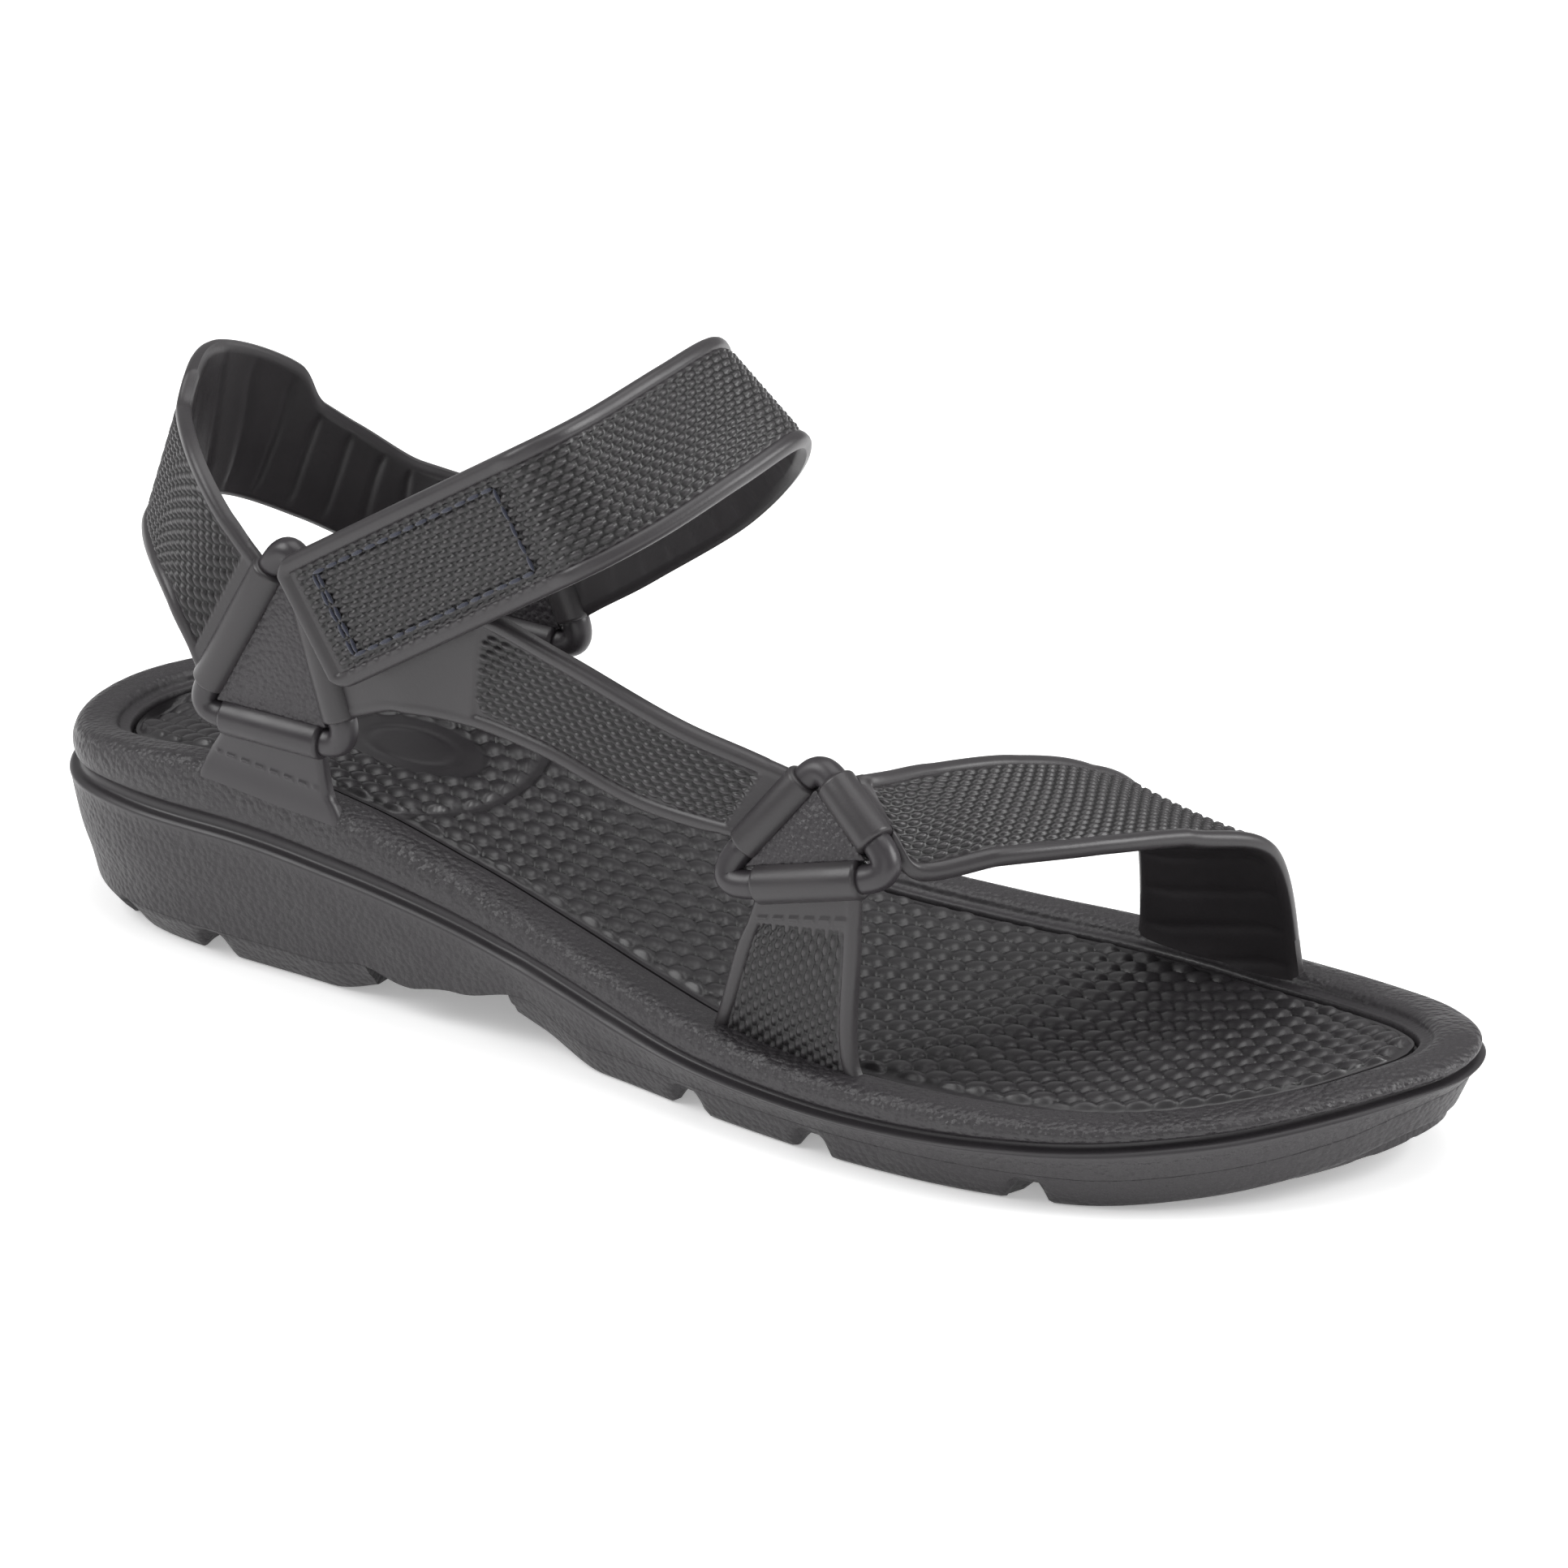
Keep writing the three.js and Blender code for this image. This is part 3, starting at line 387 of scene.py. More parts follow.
def buildMidsole():
    rim, groove = rimHeight(shares), grooveHeight(shares)
    half, bulge, rounding = sole["grooveHalf"], sole["sideBulge"], sole["rimRound"]
    width, drop = sole["rimWidth"], sole["footbedDrop"]
    up, down = rim - groove, groove - bond
    below = lambda most, part: groove - np.minimum(most, part * down)
    above = lambda most, part: groove + np.minimum(most, part * up)
    rings = [
        soleRing(bondInset, bond),
        soleRing(bondInset * 0.75, bond + 0.2 * down),
        soleRing(bondInset * 0.35, bond + 0.45 * down),
        soleRing(0.05, below(2.6 * half, 0.42)),
        soleRing(-0.15, below(1.9 * half, 0.33)),  # bead below the groove
        soleRing(-0.35, below(1.4 * half, 0.25)),
        soleRing(0.2, below(1.0 * half, 0.17)),
        soleRing(sole["grooveDepth"] * 0.85, below(0.7 * half, 0.1)),
        soleRing(sole["grooveDepth"], below(0.1 * half, 0.02)),
        soleRing(sole["grooveDepth"] * 0.9, above(0.5 * half, 0.08)),
        soleRing(bulge + 0.35, above(1.1 * half, 0.17)),
        soleRing(bulge, above(1.7 * half, 0.28)),
        soleRing(bulge - 0.2, groove + 0.52 * up),
        soleRing(bulge + 0.1, rim - np.minimum(rounding * 1.25, 0.3 * up)),
        soleRing(bulge + rounding * 0.32, rim - np.minimum(rounding * 0.5, 0.13 * up)),
        soleRing(bulge + rounding, rim - 0.05),
        soleRing(bulge + rounding * 2, rim + 0.05),
        soleRing(width - 3.4, rim - 0.15),
        soleRing(width - 2.2, rim - 0.75),
        soleRing(width - 1.6, rim - 1.6),
        soleRing(width - 0.9, rim - 1.9),  # narrow band beside the footbed
        soleRing(width + 0.3, rim - 2.1),
        soleRing(width + 0.8, rim - drop - 1.2),
    ]
    wall = wallOf(rings, 110)
    # grain at each ring: none in the groove and on its bead, little beside the footbed
    grained = [1, 1, 1, 0.9, 0.3, 0, 0, 0, 0, 0, 0, 0.6,
               1, 1, 1, 1, 1, 0.8, 0.3, 0.25, 0.25, 0.2, 0.2]
    grained = np.interp(np.linspace(0, len(rings) - 1, len(wall)), np.arange(len(rings)), grained)
    arch = lambda share: np.where(tread(share) < sole["treadThickness"] - 0.01, 0.5, 0.0)
    bottom = lidOf(wall[0, :-1], 8, arch)
    top = lidOf(wall[-1, :-1], 8, lambda share: -cupSag(share))
    parts = [laidGrid("wall", wall, relief=np.repeat(grained[:, None], wall.shape[1], axis=1)),
             laidGrid("bottom", bottom), laidGrid("top", top)]
    midsole = weld(parts, "midsole_foam", smooth=60)
    dress(midsole, foams["sidewall"], "foam", "sandal", "midsole")


buildMidsole()

footbed = {
    "pitchAlong": 4.1, "pitchAcross": 5.0, "scaleHeight": 1.6,  # overlapping scales, mm
    "heelArc": (92, 2, 37), "arcWidth": 1.6,  # smooth band round the heel pad
    "oval": (68, 4, 17, 11), "ovalRise": 0.5,  # plain raised oval under the heel
    "toeCrease": (206, -4), "creaseWidth": 7.5, "creaseBow": 0.012, "creaseRise": 1.3,
    "rows": 560, "columns": 150, "skirt": 3.0,
}


def scaleHeights(x, y):  # the highest of the domes that reach a point, steeper towards the toe
    pitchX, pitchY = footbed["pitchAlong"], footbed["pitchAcross"]
    best = np.zeros_like(x)
    for step in (-1, 0, 1):
        row = np.floor(x / pitchX + 0.5) + step
        dx = x - row * pitchX
        dy = ((y / pitchY + 0.5 * (row % 2)) % 1 - 0.5) * pitchY
        dx = np.where(dx > 0, dx / (0.62 * pitchX), dx / (1.05 * pitchX))
        best = np.maximum(best, 1 - dx**2 - (dy / (0.62 * pitchY)) ** 2)
    return footbed["scaleHeight"] * np.clip((best - 0.2) / 0.8, 0, 1) ** 0.7


def buildFootbed():
    edge = sole["rimWidth"] + 0.35
    lip = rimHeight(shares) - sole["footbedDrop"]
    rim = soleRing(edge + 1.1, lip)
    top = lidOf(rim, footbed["columns"], lambda share: -cupSag(share))
    # even steps along the footbed, so that the scales keep their shape
    rows = footbed["rows"]
    xs = np.linspace(top[0, 0, 0], top[-1, 0, 0], rows + 1)
    even = np.empty((rows + 1,) + top.shape[1:])
    for j in range(top.shape[1]):
        for axis in range(3):
            even[:, j, axis] = np.interp(xs, top[:, j, 0], top[:, j, axis])
    x, y = even[..., 0], even[..., 1]
    sideGap = np.minimum(np.abs(y - even[:, :1, 1]), np.abs(even[:, -1:, 1] - y))
    endGap = np.minimum(x - xs[0], xs[-1] - x)
    inside = ease(np.minimum(sideGap, endGap * 0.8), 0.8, 2.6)
    cx, cy, radius = footbed["heelArc"]
    away = np.hypot((x - cx + radius), (y - cy) * 0.93)
    band = 1 - ease(np.abs(away - radius), footbed["arcWidth"] * 0.6, footbed["arcWidth"])
    band = band * ease(x, 66, 76)
    ox, oy, orx, ory = footbed["oval"]
    oval = 1 - ease(np.hypot((x - ox) / orx, (y - oy) / ory), 0.86, 1.0)
    ring = np.exp(-((np.hypot((x - ox) / orx, (y - oy) / ory) - 0.55) / 0.07) ** 2)
    tx, ty = footbed["toeCrease"]
    bowed = x - tx + footbed["creaseBow"] * (y - ty) ** 2
    crease = np.exp(-(bowed / footbed["creaseWidth"]) ** 2) * (1 - ease(np.abs(y - ty), 14, 30))
    scales = scaleHeights(x + 0.05 * y, y) * inside * (1 - band) * (1 - oval)
    lift = scales + 0.28 * band * inside + oval * (footbed["ovalRise"] - 0.22 * ring)
    even[..., 2] += lift + footbed["creaseRise"] * crease * inside
    down = vec(0, 0, footbed["skirt"])
    skirtOuter = np.stack([even[:, 0], even[:, 0] - down], axis=1)
    skirtInner = np.stack([even[:, -1], even[:, -1] - down], axis=1)
    base = np.stack([even[:, 0] - down, even[:, -1] - down], axis=1)
    # hollow is 0 in the valleys between the scales, where the footbed material paints shade
    hollow = ease(scales / footbed["scaleHeight"], 0.15, 0.7)
    hollow = np.clip(hollow + band + oval + 1 - inside, 0, 1)
    parts = [laidGrid("top", even, relief=hollow), laidGrid("outerSkirt", skirtOuter),
             laidGrid("innerSkirt", skirtInner), laidGrid("base", base)]
    piece = weld(parts, "footbed_scaled", smooth=70)
    dress(piece, foams["footbed"], "footbed", "sandal", "footbed")


buildFootbed()

treads = {
    "notchDepth": 3.6, "notchFloor": 3.6, "notchFlare": 2.6,
    "heelNotches": (22, 46), "forefootNotches": (158, 187, 231),
    "ribPitch": 5.2, "ribHeight": 0.35, "ribSweep": 0.35, "columns": 24,
}


def notchLift(x, places):  # how far the channels lift the ground at x
    lift = np.zeros_like(x)
    floor, flare = treads["notchFloor"] / 2, treads["notchFlare"]
    for place in places:
        inside = 1 - ease(np.abs(x - place), floor, floor + flare)
        lift = np.maximum(lift, treads["notchDepth"] * inside)
    return lift


def buildTread(name, nodeName, xFrom, xTo, places):
    ground = groundHeight(shares)
    lift = notchLift(plan[:, 0], places)
    top = np.maximum(bond - 0.05, ground + 1.2)
    low = np.minimum(ground + lift, top - 0.5)
    inset = sole["groundInset"] * heelTuck(shares)
    rings = [
        soleRing(inset + 1.4, low),
        soleRing(inset + 0.35, low + 0.12),
        soleRing(inset - 0.3, low + 0.75),
        soleRing(inset * 0.82, low + np.minimum(1.9, (top - low) * 0.5)),
        soleRing(inset * 0.62 + 0.05, low * 0.4 + top * 0.6),
        soleRing(bondInset * 1.05 + 0.1, low * 0.1 + top * 0.9),
        soleRing(bondInset + 0.05, top),
        soleRing(bondInset + 0.9, top + 0.02),
    ]
    wall = wallOf(rings, 34)
    columns = treads["columns"]
    level = lidOf(wall[0, :-1], columns, lambda share: 0 * share)
    bottom = level.copy()
    bottom[..., 2] = groundHeight(bottom[..., 0] / length) + notchLift(bottom[..., 0], places)
    swept = bottom[..., 0] + treads["ribSweep"] * np.abs(bottom[..., 1])
    pitch, deep = treads["ribPitch"], treads["ribHeight"]
    ribs = deep * (1 - ease(np.abs(swept % pitch - pitch / 2), 0.3, 0.7))
    k = np.arange(1, columns)
    bottom[:, 1:-1, 2] += ribs[:, 1:-1] * ease(k, 0, 2) * (1 - ease(k, columns - 2, columns))
    bottom[:, [0, -1]] = level[:, [0, -1]]
    lid = lidOf(wall[-1, :-1], 4, lambda share: 0 * share)
    parts = [laidGrid("wall", wall), laidGrid("bottom", bottom), laidGrid("lid", lid)]
    piece = weld(parts, name, smooth=55)
    asActive(piece)
    for x, away in ((xFrom, -1), (xTo, 1)):
        if x is None:
            continue
        bpy.ops.object.mode_set(mode="EDIT")
        bpy.ops.mesh.select_all(action="SELECT")
        bpy.ops.mesh.bisect(plane_co=((x + shift[0]) * mm, 0, 0), plane_no=(away, 0, 0),
                            use_fill=True, clear_outer=True)
        bpy.ops.object.mode_set(mode="OBJECT")
    bpy.ops.object.shade_smooth_by_angle(angle=math.radians(55))
    dress(piece, foams["outsole"], "tread", "sandal", nodeName)


buildTread("heel_outsole", "heel_tread", None, (heelTreadEnd + 0.3 * archTaper) * length,
           treads["heelNotches"])
buildTread("forefoot_outsole", "forefoot_tread",
           (forefootTreadStart - 0.3 * archTaper) * length, None, treads["forefootNotches"])
print("sole made")


# links: round wire bent to a triangle, with a plate inside

wire = {"radius": 1.8, "corner": 2.7, "loopOuter": 3.8, "loopInner": 2.15, "sides": 28}
rearSpacing = 36
linkCorners = {
    "rearOuter": [[70, -rearSpacing, 92], [47.5, -rearSpacing, 52.5], [82, -rearSpacing, 52]],
    "rearInner": [[72, rearSpacing, 83], [51.5, rearSpacing, 48.5], [86, rearSpacing, 48]],
    "front": [[182.8, -34.8, 71.2], [163.5, -42, 45.5], [203.2, -41, 56.1]],
}


def seatBetween(corners, i, j):
    k = 3 - i - j

    def clearOf(at, other):
        a, b = unit(corners[other] - corners[at]), unit(corners[k] - corners[at])
        return wire["loopOuter"] / math.tan(math.acos(np.clip(a @ b, -1, 1)) / 2) + 0.3
    along = unit(corners[j] - corners[i])
    start = corners[i] + along * clearOf(i, j)
    stop = corners[j] - along * clearOf(j, i)
    return {"from": start, "to": stop, "along": along, "middle": (start + stop) / 2,
            "width": np.linalg.norm(stop - start)}


links = {}
for linkName, corners in linkCorners.items():
    corners = np.array(corners, float)
    links[linkName] = {
        "corners": corners, "back": seatBetween(corners, 0, 1),
        "below": seatBetween(corners, 1, 2), "fore": seatBetween(corners, 0, 2),
    }


def sweptWire(name, line, radii, normal):  # a closed run of wire, its section by normal
    sides = wire["sides"]
    ahead = unit(np.roll(line, -1, axis=0) - np.roll(line, 1, axis=0))
    outward = unit(np.cross(ahead, normal))
    turn = np.linspace(0, 2 * np.pi, sides + 1)
    points = (line[:, None, :] + outward[:, None, :] * (radii[:, None] * np.cos(turn))[..., None]
              + normal * (radii[:, None] * np.sin(turn))[..., None])
    points = np.concatenate([points, points[:1]])
    return laidGrid(name, points)


def buildLink(name, nodeName, link):
    corners = link["corners"]
    normal = unit(np.cross(corners[1] - corners[0], corners[2] - corners[0]))
    seats = {frozenset((0, 1)): link["back"], frozenset((1, 2)): link["below"],
             frozenset((0, 2)): link["fore"]}
    line, radii = [], []
    for i in range(3):
        ends = []
        for other in ((i + 2) % 3, (i + 1) % 3):
            seat = seats[frozenset((i, other))]
            near = min((seat["from"], seat["to"]), key=lambda p: np.linalg.norm(p - corners[i]))
            ends.append(near)
        start, stop = ends
        into = unit(corners[i] - start)
        outOf = unit(stop - corners[i])
        for reach, radius in ((-3.0, wire["radius"]), (-0.5, wire["radius"]), (-0.25, 2.6)):
            line.append(start + into * reach)
            radii.append(radius)
        for t in np.linspace(0, 1, 17):
            line.append(start * (1 - t) ** 2 + corners[i] * 2 * t * (1 - t) + stop * t * t)
            radii.append(wire["corner"])
        for reach, radius in ((0.25, 2.6), (0.5, wire["radius"]), (3.0, wire["radius"])):
            line.append(stop + outOf * reach)
            radii.append(radius)
    piece = weld([sweptWire("wire", np.array(line), np.array(radii), normal)], name, smooth=60)
    dress(piece, foams["link"], "link", "sandal", nodeName)


plate = {"overlap": 3.2, "edge": 0.45}  # how far inside the wire its edge lies, mm


def buildPlate(name, nodeName, link):  # a triangle that fills the link, as thick as in the frame
    corners = link["corners"]
    normal = unit(np.cross(corners[1] - corners[0], corners[2] - corners[0]))
    solid = cadNodes[nodeName].data
    co = np.empty(len(solid.vertices) * 3)
    solid.vertices.foreach_get("co", co)
    depth = (co.reshape(-1, 3) / mm - shift - corners[0]) @ normal
    bpy.ops.object.select_all(action="DESELECT")
    bpy.ops.mesh.primitive_circle_add(vertices=3, radius=1, fill_type="NGON")
    piece = bpy.context.object
    piece.name = piece.data.name = name
    for i, vertex in enumerate(piece.data.vertices):
        a, b = unit(corners[i - 1] - corners[i]), unit(corners[i - 2] - corners[i])
        place = corners[i] + (a + b) * plate["overlap"] / np.linalg.norm(np.cross(a, b))
        vertex.co = (place + normal * depth.min() + shift) * mm
    bpy.ops.object.mode_set(mode="EDIT")
    bpy.ops.mesh.select_all(action="SELECT")
    bpy.ops.mesh.extrude_region_move(
        TRANSFORM_OT_translate={"value": normal * (depth.max() - depth.min()) * mm})
    bpy.ops.mesh.select_all(action="SELECT")
    bpy.ops.mesh.normals_make_consistent(inside=False)
    bpy.ops.object.mode_set(mode="OBJECT")
    soften = piece.modifiers.new("soften", "BEVEL")
    soften.width, soften.segments, soften.angle_limit = plate["edge"] * mm, 3, math.radians(35)
    bpy.ops.object.modifier_apply(modifier="soften")
    bpy.ops.object.shade_smooth_by_angle(angle=math.radians(35))
    dress(piece, foams["plate"], "link", "sandal", nodeName)


nodeStems = {"rearOuter": "rear_outer", "rearInner": "rear_inner", "front": "front"}
for linkName, nodeStem in nodeStems.items():
    buildLink(nodeStem + "_link_wire", nodeStem + "_link", links[linkName])
    buildPlate(nodeStem + "_link_plate", nodeStem + "_plate", links[linkName])
print("links made")


# straps: moulded, with a raised round border and a fine pattern of staggered links

weave = {"along": 2.8, "across": 1.42, "height": 0.5, "step": 0.4, "samples": 5}
strapLook = {
    "thickness": 2.6, "border": 3.1, "rise": 0.75, "ribs": 0.3, "ribPitch": 7.5,
    "field": 0.45, "round": 1.35, "ribSlant": 0.28, "ribWidth": 0.75,
}
dash = {"pitch": 3.1, "crossPitch": 3.3, "height": 0.35, "half": 0.5}  # moulded stitches, mm


def leave(seat, direction, reach=2.4):
    return {"at": seat["middle"] + unit(vec(*direction)) * reach, "across": seat["along"].copy(),
            "width": seat["width"]}


def stop(x, y, z, across, width):
    return {"at": vec(x, y, z), "across": vec(*across), "width": width}


# evenly spaced stations along a strap: middle, across, outward, half width, run
def strapRun(stops, crest=None):
    edges = [np.concatenate([p["at"] - unit(p["across"]) * p["width"] / 2,
                             p["at"] + unit(p["across"]) * p["width"] / 2]) for p in stops]
    line = smoothLine(edges, (len(stops) - 1) * 24)
    middle = (line[:, :3] + line[:, 3:]) / 2
    run = np.concatenate([[0], np.cumsum(np.linalg.norm(np.diff(middle, axis=0), axis=1))])
    even = np.linspace(0, run[-1], int(run[-1] / weave["step"]) + 1)
    line = np.column_stack([np.interp(even, run, line[:, c]) for c in range(6)])
    middle, wide = (line[:, :3] + line[:, 3:]) / 2, line[:, 3:] - line[:, :3]
    ahead = unit(np.gradient(middle, axis=0))
    given = unit(wide)
    square = unit(wide - ahead * np.sum(wide * ahead, axis=1)[:, None])
    slant = np.maximum(1 - ease(even, 4, 20), ease(even, even[-1] - 20, even[-1] - 4))
    across = unit(given * slant[:, None] + square * (1 - slant)[:, None])
    outward = unit(np.cross(ahead, across))
    core = np.column_stack([middle[:, 0], np.zeros(len(middle)), np.full(len(middle), 35.0)])
    if np.sum(outward * (middle - core)) < 0:
        outward = -outward
    half = np.linalg.norm(wide, axis=1) / 2
    if crest:  # the upper edge stands higher for a stretch: reach each way, shoulder, height
        reach, shoulder, height = crest
        away = np.abs(even - even[-1] / 2)
        swell = height / 2 * (1 - ease(away, reach, reach + shoulder))
        swell = swell * (1 - 0.2 * (away / reach) ** 2)
        middle, half = middle + across * swell[:, None], half + swell
    return middle, across, outward, half, even


def linkPattern(run, off):  # staggered raised pills, long way along the strap
    column = np.floor(off / weave["across"] + 0.5)
    fy = off / weave["across"] - column
    fx = (run / weave["along"] + 0.5 * (column % 2)) % 1 - 0.5
    return 1 - ease(np.hypot(fx / 0.47, fy / 0.47), 0.45, 1.05)


def fieldCorners(run, d, begin, border, corner):  # 0 outside the field's rounded corners
    if not corner:
        return 1
    inX, inY = np.clip(corner - (run - begin), 0, corner), np.clip(corner - (d - border), 0, corner)
    return 1 - ease(np.hypot(inX, inY), corner - 0.6, corner)


def dashHeights(run, left, off, look):
    high = np.zeros_like(off)
    for place, begin, end in look.get("dashes", ()):
        on = ease(dash["half"] - np.abs(off - place), 0, 0.25) * (begin < -left < end)
        high += dash["height"] * on * ease(0.5 - abs((run / dash["pitch"]) % 1 - 0.42), 0.12, 0.22)
    if "crossDash" in look:
        at, wide = look["crossDash"]
        on = ease(dash["half"] - abs(run - at), 0, 0.25) * (np.abs(off) < wide)
        beat = np.abs((off / dash["crossPitch"]) % 1 - 0.5)
        high += dash["height"] * on * ease(0.5 - beat, 0.12, 0.2)
    return high


def strapSheet(name, stops, look=None, taper=None):
    look = {**strapLook, **(look or {})}
    line, across, outward, half, run = strapRun(stops, look.get("crest"))
    total, t, border, rim = run[-1], look["thickness"] / 2, look["border"], look["round"]
    if taper:  # rounded corners at the free end
        short = np.clip(taper - (total - run), 0, taper)
        half = half - taper + np.sqrt(np.clip(taper**2 - short**2, 0, None))
    near = np.array([0, 0.12, 0.4, 0.85, 1.4, 1.95, 2.4, 2.8, 3.1, 3.4]) * border / 3.1
    samples = int((2 * (half.max() - near[-1])) / (weave["across"] / weave["samples"]))
    middle = np.arange(1, samples)
    middle = middle / (len(middle) + 1)
    backs = np.array([0.1, 0.5, 1.2, 2.2])
    ribSteps = np.linspace(0, 1, 12)[1:-1]
    begin = look.get("from", border + 0.6)
    end = total - look.get("to", border + 0.6)
    endMask = ease(run, begin - 0.6, begin + 0.6) * (1 - ease(run, end - 0.6, end + 0.6))
    rows, uvs, reliefs = [], [], []
    for i, w in enumerate(half):
        squeeze = min(1, w / 8)
        inner = w - near[-1] * squeeze
        edges = w - near * squeeze
        off = np.concatenate([-edges, -inner + 2 * inner * middle, edges[::-1]])
        d = w - np.abs(off)
        if taper:
            d = np.minimum(d, max(total - run[i], 0))
        edge = rim - np.sqrt(np.clip(rim**2 - np.clip(rim - d, 0, rim) ** 2, 0, None))
        bow = 2 * np.clip(d, 0, border) / border - 1
        bead = look["rise"] * np.sqrt(np.clip(1 - bow**2, 0, 1))
        if look.get("openEnds"):
            bead = np.maximum(bead, look["rise"] * 0.8 * (1 - endMask[i]))
        field = ease(d, border, border + 0.7) * endMask[i] * look.get("pattern", 1)
        field = field * fieldCorners(run[i], d, begin, border, look.get("fieldRound"))
        pills = linkPattern(run[i], off)
        high = t - look["field"] + bead + field * weave["height"] * pills - edge
        high = high + dashHeights(run[i], total - run[i], off, look)
        backEdges = w - backs * squeeze
        backOff = np.concatenate([backEdges, w * 0.83 * (1 - 2 * ribSteps), -backEdges[::-1]])
        backD = w - np.abs(backOff)
        if taper:
            backD = np.minimum(backD, max(total - run[i], 0))
        low = -t + 0.75 * (1 - ease(backD, 0, 1.3))
        place = (run[i] + look["ribSlant"] * backOff) % look["ribPitch"] - look["ribPitch"] / 2
        low = low + look["ribs"] * np.exp(-(place / look["ribWidth"]) ** 2) * ease(backD, 2.4, 3.4)
        offs = np.concatenate([off, backOff, off[:1]])
        highs = np.concatenate([high, low, high[:1]])
        rows.append(line[i] + across[i] * offs[:, None] + outward[i] * highs[:, None])
        uvs.append(np.column_stack([np.full(len(offs), run[i]), offs]))
        # relief is low between the pills of the field, where the strap material paints shade
        reliefs.append(np.concatenate([1 - field * (1 - pills), np.ones(len(low)), [1]]))
    return laidGrid(name, rows, uvs, reliefs)


def rollOf(seat):  # the strap's end rolled round a bar
    half, outer, inner, r = seat["width"] / 2, wire["loopOuter"] - 0.1, wire["loopInner"], 0.85
    bend = np.linspace(0, np.pi / 2, 6)
    profile = [(x, outer - r + r * math.sin(a)) for x, a in
               [(-half + r - r * math.cos(b), b) for b in bend]]
    profile += [(half - r + r * math.cos(b), outer - r + r * math.sin(b)) for b in bend[::-1]]
    profile += [(half, inner + 0.3), (half - 0.3, inner)]
    profile += [(-half + 0.3, inner), (-half, inner + 0.3)]
    profile.append(profile[0])
    axis = seat["along"]
    side = unit(np.cross(axis, vec(0, 0.31, 1)))
    other = np.cross(axis, side)
    turn = np.linspace(0, 2 * np.pi, 49)
    rows = []
    for a in turn:
        spoke = side * math.cos(a) + other * math.sin(a)
        rows.append([seat["middle"] + axis * x + spoke * radius for x, radius in profile])
    return laidGrid("roll", rows)


def buildStrap(name, slotName, body, stops, seats, nodeNames, look=None, taper=None,
               material="strap"):
    sheet = weld([strapSheet(name, stops, look, taper)], name, holes=True)
    rolls = [weld([rollOf(seat)], "roll") for seat in seats]
    bpy.ops.object.select_all(action="DESELECT")
    for piece in [sheet] + rolls:
        piece.select_set(True)
    bpy.context.view_layer.objects.active = sheet
    if rolls:
        bpy.ops.object.join()
    bpy.ops.object.shade_smooth_by_angle(angle=math.radians(50))
    dress(sheet, foams[material], slotName, body, *nodeNames)
    return sheet


outerRear, innerRear, frontLink = links["rearOuter"], links["rearInner"], links["front"]

# tabs from the sole's rim up to the links
tabs = {"rearAlong": 63, "frontAlong": 180}


def tabStops(seat, side, along, width, inset, footWidth, sink=0.6):
    rim = float(rimHeight(along / length))
    near, far = edgeAt(along + 5, side, inset), edgeAt(along - 5, side, inset)
    lie = unit(near - far)
    rise = float(rimHeight((along + 5) / length) - rimHeight((along - 5) / length))
    lie = unit(vec(lie[0], lie[1], rise / 10))
    foot = edgeAt(along, side, inset)
    start = leave(seat, foot + vec(0, 0, rim) - seat["middle"])
    if start["across"][0] < 0:
        start["across"] = -start["across"]
    lip = {"at": foot + vec(0, 0, rim + 2.5), "across": lie, "width": width}
    base = {"at": foot + vec(0, 0, rim - 3), "across": lie, "width": footWidth}
    deep = {"at": edgeAt(along, side, inset + sink) + vec(0, 0, rim - 9), "across": lie,
            "width": footWidth}
    return [start, lip, base, deep]


rearTabLook = {"pattern": 0, "rise": 0.0, "thickness": 3.6, "ribs": 0, "crossDash": (6.5, 11.5)}
buildStrap("rear_outer_tab_strap", "strap", "sandal",
           tabStops(outerRear["below"], -1, tabs["rearAlong"], 27.5, 1.9, 33, 2.6),
           [outerRear["below"]], ["rear_outer_tab"], rearTabLook, material="link")
buildStrap("rear_inner_tab_strap", "strap", "sandal",
           tabStops(innerRear["below"], 1, tabs["rearAlong"], 27.5, 1.9, 33, 2.6),
           [innerRear["below"]], ["rear_inner_tab"], rearTabLook, material="link")
buildStrap("front_tab_strap", "strap", "sandal",
           tabStops(frontLink["below"], -1, tabs["frontAlong"], 31.5, 7.4, 36),
           [frontLink["below"]], ["front_tab"],
           {"from": 6.5, "to": 6.5, "crossDash": (4.6, 9.9), "ribs": 0, "openEnds": True})

# heel strap: from one rear link round the back to the other, higher behind the heel
heelStrap = {"width": 26}


def upright(start):
    if start["across"][2] < 0:
        start["across"] = -start["across"]
    return start


def leavingBack(link):
    seat = link["back"]
    back = vec(-seat["along"][2], 0, seat["along"][0])
    return upright(leave(seat, back if back[0] < 0 else -back))


w = heelStrap["width"]
heelPiece = buildStrap("heel_strap_band", "strap", None, [
    leavingBack(outerRear),
    stop(48.5, -34.8, 81.5, (0.46, 0, 0.89), w),
    stop(38.5, -28.5, 88, (0.42, -0.05, 0.92), w + 2),
    stop(26, -13.5, 90, (0.35, -0.05, 0.93), w + 3),
    stop(21.5, 0, 89.5, (0.28, 0, 0.96), w + 3.5),
    stop(25, 13, 86, (0.35, 0.05, 0.93), w + 1),
    stop(34.5, 25, 77.3, (0.42, 0.05, 0.9), w - 2),
    stop(46, 33, 69.3, (0.5, 0, 0.86), w - 2.5),
    leavingBack(innerRear),
], [outerRear["back"], innerRear["back"]],
    ["heel_strap_outer_end", "heel_strap_inner_end", "heel_strap"],
    {"ribs": 0.45, "openEnds": True, "crest": (15, 8, 5.5)})
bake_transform(heelPiece)

